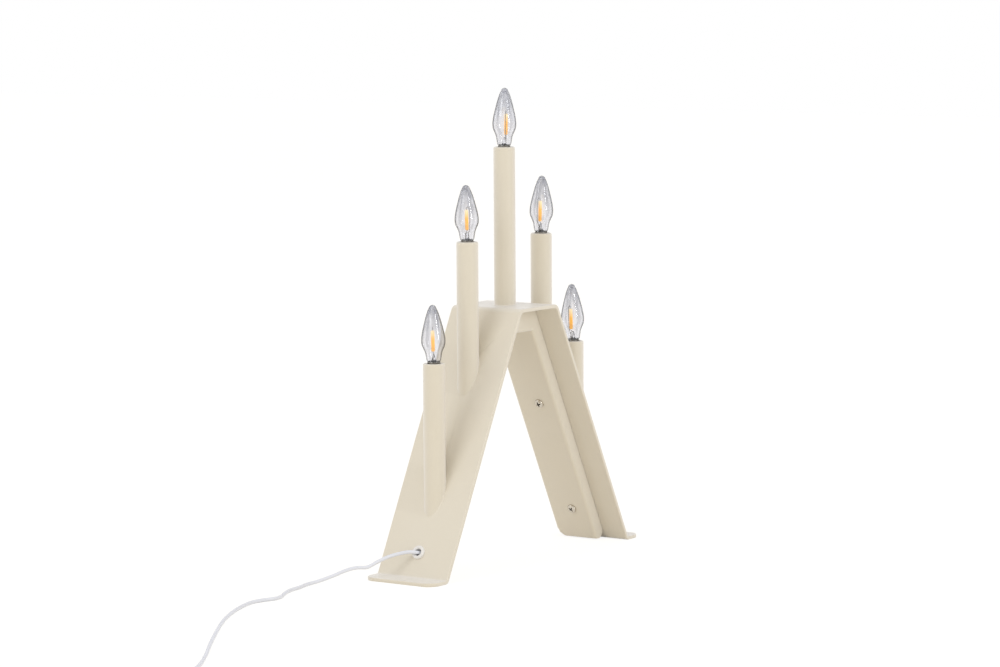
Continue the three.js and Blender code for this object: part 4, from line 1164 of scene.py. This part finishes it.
def make_screw():
    """A pan head above a shank, with the head's underside at height 0."""
    crown = [(share * SCREW_HEAD_RADIUS, height) for share, height in SCREW_CROWN]
    screw = lathe("screw", [*SCREW_SHANK, *crown], SCREW_SIDES, ZINC)
    turns = [Matrix.Rotation(turn, 4, "Z") for turn in (0, pi / 2)]
    cut_out(screw, [move(make_piece("blade", *recess_blade(), ZINC), (0, 0, 0), turn) for turn in turns])
    ease_edges(screw, SCREW_EDGE_WIDTH, SCREW_EDGE_FOLD)
    # Points down in the cross recess are marked, for the painted shade there.
    places = np.empty(3 * len(screw.data.vertices))
    screw.data.vertices.foreach_get("co", places)
    x, y, z = places.reshape(-1, 3).T / MM
    from_axis = np.hypot(x, y)
    surface = np.interp(from_axis, *zip(*reversed(crown)))
    inside = (from_axis < RECESS_LENGTH / 2) & (z < surface - RECESS_MARGIN) & (z > 0)
    mark(screw, "recess", inside.astype(float))
    return screw


def make_boss():
    """A threaded sleeve with a small weld at its foot, which goes 0.3 mm into the strip."""
    return lathe("boss", [
        (BOSS_BORE_RADIUS, -0.3), (BOSS_RADIUS + BOSS_WELD, -0.3), (BOSS_RADIUS, 0.7),
        (BOSS_RADIUS, BOSS_REACH - BOSS_CHAMFER), (BOSS_RADIUS - BOSS_CHAMFER, BOSS_REACH),
        (BOSS_BORE_RADIUS + BORE_CHAMFER, BOSS_REACH), (BOSS_BORE_RADIUS, BOSS_REACH - BORE_CHAMFER),
    ], SMALL_SIDES, ZINC, ring=True)


# %% Four of each on the legs
def fixing_rule():
    group, tree, given = new_rule("fixings_on_points", {"Fixing": "Object", "Lean": "Float"})
    shape = tree.node("GeometryNodeObjectInfo", inputs={"Object": given.other("Fixing")}, output="Geometry")
    lean = tree.node("ShaderNodeCombineXYZ", inputs={1: tree.rule_value("side") * given.other("Lean")})
    spin = tree.node("ShaderNodeCombineXYZ", inputs={2: tree.rule_value("turn")})
    set_out = tree.node("GeometryNodeInstanceOnPoints", inputs={
        "Points": given, "Instance": shape, "Rotation": lean,
    })
    twisted = tree.node("GeometryNodeRotateInstances", inputs={"Instances": set_out, "Rotation": spin})
    end_rule(tree, given, twisted)
    return group


def set_fixings(name, fixing, depth, finish):
    sides, heights, turns = zip(*SCREW_PLACES)
    mesh = bpy.data.meshes.new(name)
    points = [leg_point(side, height, depth, SCREW_Y) for side, height in zip(sides, heights)]
    mesh.from_pydata((np.array(points) * MM).tolist(), [], [])
    piece = placed(name, mesh)
    mark(piece, "side", [float(side) for side in sides])
    mark(piece, "turn", [radians(turn) for turn in turns])
    apply_rule(piece, fixings, {"Fixing": fixing, "Lean": -pi / 2 - LEG_ANGLE, "Finish": finish})
    bpy.data.objects.remove(fixing)
    return piece


fixings = fixing_rule()
cover_screws = set_fixings("cover_screws", make_screw(), SCREW_SEAT_DEPTH, ZINC)
hand_over(cover_screws, "root", "zinc_steel", *[f"cover_screw_{number}" for number in range(1, 5)])
bosses = set_fixings("cover_bosses", make_boss(), STRIP_THICKNESS, CREAM)
hand_over(bosses, "root", "powder_coat")
print("screws", len(cover_screws.data.polygons), "faces, bosses", len(bosses.data.polygons), "faces")

# %% [markdown]
# The bulb's screw cap
#
# A bulb cap is rolled from thin metal, so its thread is a soft wave that winds down the sleeve. The
# wave is a rule: at every point of a plain turned sleeve, the radius swells by the cosine of
# the height in pitches less the angle round the axis. A geometry tree moves the points by that
# formula, and an attribute fades the thread out at the collar and at the lower end.

# %% Cap sizes and rule
COLLAR_RADIUS = 5.2
COLLAR_TOP = 1.1
COLLAR_BOTTOM = -1
COLLAR_ROLL = 0.3
THREAD_RADIUS = 4.75
THREAD_DEPTH = 0.4
THREAD_PITCH = 1.814
THREAD_BOTTOM = COLLAR_BOTTOM - 5 * THREAD_PITCH
CAP_BOTTOM = THREAD_BOTTOM - 1.9
CAP_WALL = 0.35
CAP_SIDES = 64
THREAD_ROWS = 60
TIP_LENGTH = 1.5


def cap_profile():
    """(radius, height, share of the thread's wave) round the sleeve's wall."""
    mean = THREAD_RADIUS - THREAD_DEPTH / 2
    rows = []
    for z in np.linspace(THREAD_BOTTOM, COLLAR_BOTTOM - 0.15, THREAD_ROWS):
        fade = min((z - THREAD_BOTTOM) / THREAD_PITCH, (COLLAR_BOTTOM - z) / (0.5 * THREAD_PITCH), 1)
        rows.append((mean, z, max(fade, 0)))
    collar = [
        (COLLAR_RADIUS - 0.15, COLLAR_BOTTOM, 0), (COLLAR_RADIUS, COLLAR_BOTTOM + 0.2, 0),
        (COLLAR_RADIUS, COLLAR_TOP - 2 * COLLAR_ROLL, 0), (COLLAR_RADIUS + 0.12, COLLAR_TOP - COLLAR_ROLL, 0),
        (COLLAR_RADIUS, COLLAR_TOP, 0), (COLLAR_RADIUS - COLLAR_ROLL, COLLAR_TOP, 0),
    ]
    inner = [(COLLAR_RADIUS - CAP_WALL, COLLAR_BOTTOM + 0.5, 0)]
    inner += [(radius - CAP_WALL, z, share) for radius, z, share in reversed(rows)]
    taper = [(mean - CAP_WALL, THREAD_BOTTOM - 0.2, 0), (3, CAP_BOTTOM + 0.9, 0), (2.9, CAP_BOTTOM + 0.6, 0)]
    outer_taper = [(3.3, CAP_BOTTOM + 0.6, 0), (3.4, CAP_BOTTOM + 0.9, 0), (mean, THREAD_BOTTOM - 0.3, 0)]
    return [*outer_taper, *rows, *collar, *inner, *taper]


def thread_rule():
    group, tree, given = new_rule("rolled_thread", {"Pitch": "Float", "Depth": "Float"})
    x, y, z = tree.place_parts()
    turn = y.math("ARCTAN2", x)
    wave = (z / given.other("Pitch") * (2 * pi) - turn).math("COSINE")
    radius = (x * x + y * y).math("SQRT")
    grown = 1 + wave * tree.rule_value("wave_share") * given.other("Depth") * 0.5 / radius
    end_by_moving(tree, given, x * grown, y * grown, z)
    return group


def make_cap():
    cap = marked_ring("cap", cap_profile(), CAP_SIDES, NICKEL, "wave_share")
    sizes = {"Pitch": THREAD_PITCH * MM, "Depth": THREAD_DEPTH * MM, "Finish": NICKEL}
    return apply_rule(cap, thread_rule(), sizes)


# %% [markdown]
# Glass, filament and the parts around them
#
# The bulb is blown glass with an even thin wall. Its outline was measured on the photograph at
# thirteen heights, and an even curve through these radii is turned on the lathe, once outside
# and once a wall's thickness further in. Inside stand a glass stem that is pinched flat at its top,
# two wires, and the rod that gives the light. All five bulbs are copies, each turned differently
# and set a little askew, as hand-fitted glass is.

# %% Bulb shapes
GLASS_WALL = 0.5
GLASS_NECK_RADIUS = 4.4
GLASS_NECK_BOTTOM = -0.4
GLASS_OUTLINE = [
    (4.55, 1.3), (5.5, 1.7), (6.3, 5.3), (6.95, 8.8), (8.3, 12.3), (9.45, 15), (9.95, 19), (9.55, 23.3),
    (8.7, 27.9), (7.2, 34), (5.6, 40), (4.05, 44.5), (3, 46.7),
]
GLASS_TOP = 49.2
GLASS_TIP_RADIUS = 3.05
GLASS_NECK_TOP = 0.9
GLASS_NEAR_AXIS = 0.05
BULB_SIDES = 72


def glass_outline(inset):
    """The outline, moved inwards by the wall, from the neck's lower edge to the point."""
    line = smooth_line(GLASS_OUTLINE, 5)
    tip = arc((0, GLASS_TOP - GLASS_TIP_RADIUS), GLASS_TIP_RADIUS, 18, 90, 8)
    neck = [(GLASS_NECK_RADIUS, height) for height in (GLASS_NECK_BOTTOM, GLASS_NECK_TOP)]
    points = [*neck, *line, *tip]
    if not inset:
        return [*points[:-1], (0, GLASS_TOP)]
    moved = []
    for before, point, after in zip(points, points[1:-1], points[2:]):
        along = unit(np.subtract(after, before))
        moved.append((point[0] - along[1] * inset, point[1] + along[0] * inset))
    start = (GLASS_NECK_RADIUS - inset, GLASS_NECK_BOTTOM)
    return [start, *[place for place in moved if place[0] > GLASS_NEAR_AXIS], (0, GLASS_TOP - inset)]


def make_glass():
    points, faces = turned([*reversed(glass_outline(GLASS_WALL)), *glass_outline(0)], BULB_SIDES)
    glass = make_piece("glass", points, faces, GLASS)
    mark(glass, "along", np.clip(points[:, 2] / GLASS_TOP, 0, 1))
    return glass


STEM_TOP = 8
STEM_FLARE = 3.6
PINCH_BOTTOM = 4
PINCH_HEIGHT = 2.4
PINCH_FLATTER = 0.55
PINCH_WIDER = 0.35
ROD_RADIUS = 1.45
ROD_BOTTOM = 10
ROD_TOP = 27.7
ROD_SIDES = 32
WIRE_RADIUS = 0.28
WIRE_SIDES = 10
SHORT_WIRE = [(-1.1, -9), (-1.1, 3), (-1.1, 6), (-0.9, 8.2), (0, 9.4), (0, 10.2)]
TALL_WIRE = [
    (1.1, -9), (1.1, 3), (1.2, 7), (2.6, 9.8), (3, 16), (3, 24), (2.6, 28.6), (1.4, 30.2), (0.3, 29.6),
    (0, 27.5),
]


def make_stem():
    """The glass foot inside the neck: a flare below, and a pinch above that holds the wires."""
    points, faces = turned([
        (0, GLASS_NECK_BOTTOM), (STEM_FLARE, GLASS_NECK_BOTTOM), (STEM_FLARE, 0.1), (2.9, 0.9), (2.2, 1.8),
        (1.8, 3), (1.6, 4.4), (1.6, 5.6), (1.5, 7), (1.2, 7.7), (0.6, STEM_TOP), (0, STEM_TOP),
    ], SMALL_SIDES)
    pinch = np.clip((points[:, 2] - PINCH_BOTTOM) / PINCH_HEIGHT, 0, 1)
    points[:, 1] *= 1 - PINCH_FLATTER * pinch
    points[:, 0] *= 1 + PINCH_WIDER * pinch
    return make_piece("stem", points, faces, GLASS)


def wire_rings(path):
    """Rings of a round wire along a path in the XZ plane."""
    angles = np.linspace(0, 2 * pi, WIRE_SIDES, endpoint=False)
    rings = []
    for i, point in enumerate(path):
        along = unit(path[min(i + 1, len(path) - 1)] - path[max(i - 1, 0)])
        across = unit(np.cross(along, (0, 1, 0)))
        other = np.cross(along, across)
        rings.append([
            point + WIRE_RADIUS * (cos(angle) * across + sin(angle) * other) for angle in angles
        ])
    return rings


def merged(parts):
    """Several (points, faces) in one list of points and faces."""
    points, faces = [], []
    for part_points, part_faces in parts:
        faces += [[corner + len(points) for corner in face] for face in part_faces]
        points += list(part_points)
    return np.array(points, float), faces


def make_wires():
    """Lead-in wires from the stem: a short one to the rod's foot, and a tall one over its top."""
    skins = []
    for path, steps in ((SHORT_WIRE, 4), (TALL_WIRE, 5)):
        line = smooth_line([(x, 0, z) for x, z in path], steps)
        skins.append(loft(wire_rings(line)))
    return make_piece("wires", *merged(skins), NICKEL)


def make_rod():
    """The coated rod, rounded at both ends."""
    points, faces = turned([
        (0, ROD_BOTTOM), (0.45 * ROD_RADIUS, ROD_BOTTOM), (0.8 * ROD_RADIUS, ROD_BOTTOM + 0.25),
        (ROD_RADIUS, ROD_BOTTOM + 0.9), (ROD_RADIUS, ROD_TOP - 0.9), (0.8 * ROD_RADIUS, ROD_TOP - 0.25),
        (0.45 * ROD_RADIUS, ROD_TOP), (0, ROD_TOP),
    ], ROD_SIDES)
    rod = make_piece("rod", points, faces, AMBER)
    mark(rod, "along", (points[:, 2] - ROD_BOTTOM) / (ROD_TOP - ROD_BOTTOM))
    return rod


def make_insulator():
    """Black glass ring between the cap and the solder tip."""
    profile = [(1, 0.95), (1, 0), (1.9, 0), (2.6, 0.25), (3.15, 0.62), (2.85, 0.95)]
    above = [(radius, CAP_BOTTOM + height) for radius, height in profile]
    return lathe("insulator", above, SMALL_SIDES, BLACK_PLASTIC, ring=True)


def make_tip():
    """A drop of solder below the cap."""
    profile = [(0, 0), (0.5, 0.04), (1, 0.2), (1.4, 0.5), (1.6, 0.95), (1.6, TIP_LENGTH), (0, TIP_LENGTH)]
    bottom = CAP_BOTTOM - TIP_LENGTH
    return lathe("tip", [(radius, bottom + height) for radius, height in profile], SMALL_SIDES, SOLDER)


# %% Five bulbs, each on its own moving body
BULB_SETTINGS = [
    (35, -0.95, 47.8, -0.4), (-20, -0.94, 46.7, 0), (205, 0.61, 48.9, 1.4), (160, 0.9, 48.4, -1.1),
    (75, -1.14, 48.8, -1.3),
]
for candle, setting in zip(CANDLES, BULB_SETTINGS):
    candle.update(zip(("turn", "shift", "tip_height", "rod_shift"), setting))
PICTURE_RIGHT = Vector((cos(CAMERA_AZIMUTH), sin(CAMERA_AZIMUTH), 0))


def glass_set(candle):
    """How a bulb's glass sits in its cap: leaning to the picture's right, and longer or shorter."""
    tilt = atan(candle["shift"] / candle["tip_height"])
    lean = Matrix.Rotation(tilt, 4, Vector((0, 0, 1)).cross(PICTURE_RIGHT))
    length = (candle["tip_height"] - COLLAR_TOP) / (GLASS_TOP - COLLAR_TOP)
    collar = Matrix.Translation((0, 0, COLLAR_TOP * MM))
    return collar @ lean @ Matrix.Diagonal((1, 1, length, 1)) @ collar.inverted()


def copy_to(pattern, name, candle, settling):
    piece = pattern.copy()
    piece.data = pattern.data.copy()
    piece.name = piece.data.name = name
    bpy.context.scene.collection.objects.link(piece)
    turn = Matrix.Rotation(radians(candle["turn"]), 4, "Z")
    return move(piece, (candle["x"], 0, candle["rim"]), settling @ turn)


BULB_PARTS = {
    "bulb_cap": (make_cap(), "nickel", "bulb_cap"),
    "bulb_glass": (make_glass(), "bulb_glass", "bulb_glass"),
    "filament_rod": (make_rod(), "filament", "bulb_filament"),
    "filament_wires": (make_wires(), "nickel", None),
    "filament_stem": (make_stem(), "bulb_glass", None),
    "cap_insulator": (make_insulator(), "black_plastic", None),
    "bulb_tip": (make_tip(), "solder", "bulb_tip"),
}
IN_GLASS = ("bulb_glass", "filament_rod", "filament_wires", "filament_stem")
for number, candle in enumerate(CANDLES, 1):
    settled = glass_set(candle)
    off_centre = Matrix.Translation(PICTURE_RIGHT * candle["rod_shift"] * MM)
    for name, (pattern, slot, node) in BULB_PARTS.items():
        settling = settled if name in IN_GLASS else Matrix.Identity(4)
        if name in ("filament_rod", "filament_wires"):
            settling = settling @ off_centre
        part = copy_to(pattern, f"screw_in_{name}_{number}", candle, settling)
        body = f"bulb_{number}_foot" if name == "bulb_tip" else f"bulb_{number}"
        hand_over(part, body, slot, *([f"{node}_{number}"] if node else []))
for pattern, _, _ in BULB_PARTS.values():
    bpy.data.objects.remove(pattern)
print("bulb parts", len(BULB_PARTS), "times", len(CANDLES))

# %% [markdown]
# The grommet
#
# A white grommet lines the hole in the leg, so that the metal can't cut the cord. It is moulded in one
# piece with a round flange on each face and a mouth that flares softly outwards, which a turned
# profile gives at once. It is set on the leg's outer face, square to it.

# %% Grommet
GROMMET_BORE_RADIUS = 2.9
GROMMET_FLANGE_RADIUS = 5.75
GROMMET_NECK_RADIUS = 4.45
GROMMET_TOP = 2.1
GROMMET_BOTTOM = -4.5
LIP_RADIUS = 0.9
MOUTH_RADIUS = 1.2
BACK_LIP_RADIUS = 0.5
BACK_MOUTH_RADIUS = 1
GROMMET_GRIP = 3.05
GROMMET_GAP = 0.02
GROMMET_SIDES = 64


def make_grommet():
    flange, bore, neck = GROMMET_FLANGE_RADIUS, GROMMET_BORE_RADIUS, GROMMET_NECK_RADIUS
    lip = arc((flange - LIP_RADIUS, GROMMET_TOP - LIP_RADIUS), LIP_RADIUS, 0, 90, 6)
    mouth = arc((bore + MOUTH_RADIUS, GROMMET_TOP - MOUTH_RADIUS), MOUTH_RADIUS, 90, 180, 6)
    back_centre = (bore + BACK_MOUTH_RADIUS, GROMMET_BOTTOM + BACK_MOUTH_RADIUS)
    back_mouth = arc(back_centre, BACK_MOUTH_RADIUS, 180, 270, 5)
    back_lip = arc((flange - BACK_LIP_RADIUS, GROMMET_BOTTOM + BACK_LIP_RADIUS), BACK_LIP_RADIUS, 270, 360, 4)
    groove = [(flange, -GROMMET_GRIP), (neck, -GROMMET_GRIP), (neck, GROMMET_GAP), (flange, GROMMET_GAP)]
    profile = [*back_mouth, *back_lip, *groove, *lip, *mouth]
    grommet = lathe("cord_grommet", profile, GROMMET_SIDES, WHITE_PLASTIC, ring=True)
    return on_leg(grommet, -1, GROMMET_FACE_HEIGHT, 0)


cord_grommet = make_grommet()
hand_over(cord_grommet, "root", "white_plastic", "grommet")
print("grommet", len(cord_grommet.data.polygons), "faces")

# %% [markdown]
# The plug
#
# The flat two-pin plug is moulded onto the cord. Its body is an outline drawn from above, thick in the
# middle and rounded all round, so the outline is stacked in layers that draw in towards the
# top and the bottom. The tail is turned, with rings that let it bend. The pins wear sleeves of
# insulation next to the body.

# %% Plug
PLUG_LENGTH = 36
PLUG_TAIL_LENGTH = 14
PLUG_EDGE_RADIUS = 3.2
PLUG_SWEEP = [
    (14, 4.6), (17, 6.4), (23, 11), (29, 15.2), (35, 17.4), (40, 17.65), (44, 17.3), (47, 15.4), (50, 12.8),
]
PLUG_LAYER_ANGLES = (-90, -70, -50, -30, -12, 12, 30, 50, 70, 90)
TAIL_RING_PITCH = 2.8
TAIL_RING_WIDTH = 1.7
TAIL_RING_RADII = (2.7, 2.95, 3.2, 3.45)
TAIL_GROOVE_DEPTH = 0.7
PLUG_FRONT = PLUG_TAIL_LENGTH + PLUG_LENGTH
PIN_RADIUS = 2
PIN_LENGTH = 19
PIN_SPACING = 19
SLEEVE_LENGTH = 8
SLEEVE_WALL = 0.12


def plug_outline(inset):
    """The body from above, drawn in by inset: front edge, right side, tail end, left side."""
    side = smooth_line(PLUG_SWEEP, 4)
    centre = np.array((PLUG_TAIL_LENGTH + PLUG_LENGTH / 2, 0))
    outline = [*side, *[(x, -y) for x, y in reversed(side)]]
    moved = []
    for i, point in enumerate(outline):
        along = unit(np.subtract(outline[(i + 1) % len(outline)], outline[i - 1]))
        side_way = np.array((along[1], -along[0]))
        if side_way @ (centre - point) < 0:
            side_way = -side_way
        moved.append(np.array(point) + side_way * inset)
    return moved


def laid(points, sideways=0):
    """Turned points laid down, with their axis along +X."""
    return np.column_stack((points[:, 2], points[:, 1] + sideways, -points[:, 0]))


def make_plug_body():
    rings = []
    half = PLUG_HEIGHT / 2
    for angle in PLUG_LAYER_ANGLES:
        lean = radians(angle)
        flat = copysign(half - PLUG_EDGE_RADIUS, angle)
        height = flat + PLUG_EDGE_RADIUS * sin(lean)
        rings.append([(x, y, height) for x, y in plug_outline(PLUG_EDGE_RADIUS * (1 - cos(lean)))])
    tail = [(0, 0), (CORD_RADIUS + 0.1, 0), (2.5, 0.2)]
    for ring, radius in enumerate(TAIL_RING_RADII):
        start = 1 + ring * TAIL_RING_PITCH
        groove = radius - TAIL_GROOVE_DEPTH
        tail += [(radius, start), (radius, start + TAIL_RING_WIDTH)]
        tail += [(groove, start + 2), (groove, start + 2.6)]
    tail += [(3.9, 12.6), (4.6, PLUG_TAIL_LENGTH + 2), (0, PLUG_TAIL_LENGTH + 4)]
    tail_points, tail_faces = turned(tail, SMALL_SIDES)
    skins = merged([loft(rings, paired_caps=True), (laid(tail_points), tail_faces)])
    return move(make_piece("moulded_plug", *skins, SHEATH), plug_point(0))


def pins(name, profile, material):
    points, faces = turned(profile, SMALL_SIDES)
    parts = [(laid(points, side * PIN_SPACING / 2), faces) for side in (-1, 1)]
    return move(make_piece(name, *merged(parts), material), plug_point(0))


PIN_END = PLUG_FRONT + PIN_LENGTH
ROUND_END = arc((0, PIN_END - PIN_RADIUS), PIN_RADIUS, 10, 90, 6)[:-1]
SLEEVE_END = PLUG_FRONT + SLEEVE_LENGTH
SLEEVE_RADIUS = PIN_RADIUS + SLEEVE_WALL
plug_body = make_plug_body()
plug_pins = pins("plug_pins", [
    (0, PLUG_FRONT - 3), (PIN_RADIUS, PLUG_FRONT - 3), (PIN_RADIUS, PIN_END - PIN_RADIUS - 0.3),
    *ROUND_END, (0, PIN_END),
], NICKEL)
pin_sleeves = pins("pin_sleeves", [
    (0, PLUG_FRONT - 2), (SLEEVE_RADIUS, PLUG_FRONT - 2), (SLEEVE_RADIUS, SLEEVE_END - 0.3),
    (PIN_RADIUS + 0.02, SLEEVE_END), (0, SLEEVE_END),
], SHEATH)
hand_over(plug_body, "root", "cord_white", "plug_body")
hand_over(plug_pins, "root", "nickel", "plug_pin_1", "plug_pin_2")
hand_over(pin_sleeves, "root", "cord_white")
print("plug", len(plug_body.data.polygons), "faces")

# %% [markdown]
# Parts that keep their CAD mesh
#
# Sockets, screw shells, contacts, wires and the terminal block sit inside the tubes and under the cover.
# Their CAD meshes are already the right shapes, so they only get their finishes.

# %% Inner parts
KEPT_FINISHES = {
    "lamp_socket": BLACK_PLASTIC, "screw_shell": BRASS, "centre_contact": BRASS, "lead": BLACK_PLASTIC,
    "terminal_block": WHITE_PLASTIC,
}
kept = 0
for name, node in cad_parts.items():
    for start, material in KEPT_FINISHES.items():
        if name.startswith(start):
            for slot in node.material_slots:
                slot.material = material
            kept += 1
print("kept CAD pieces", kept)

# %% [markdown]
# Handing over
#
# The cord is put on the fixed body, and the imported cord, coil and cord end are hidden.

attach(cord, "root")
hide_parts("cord", "cord_coil", "cord_end")
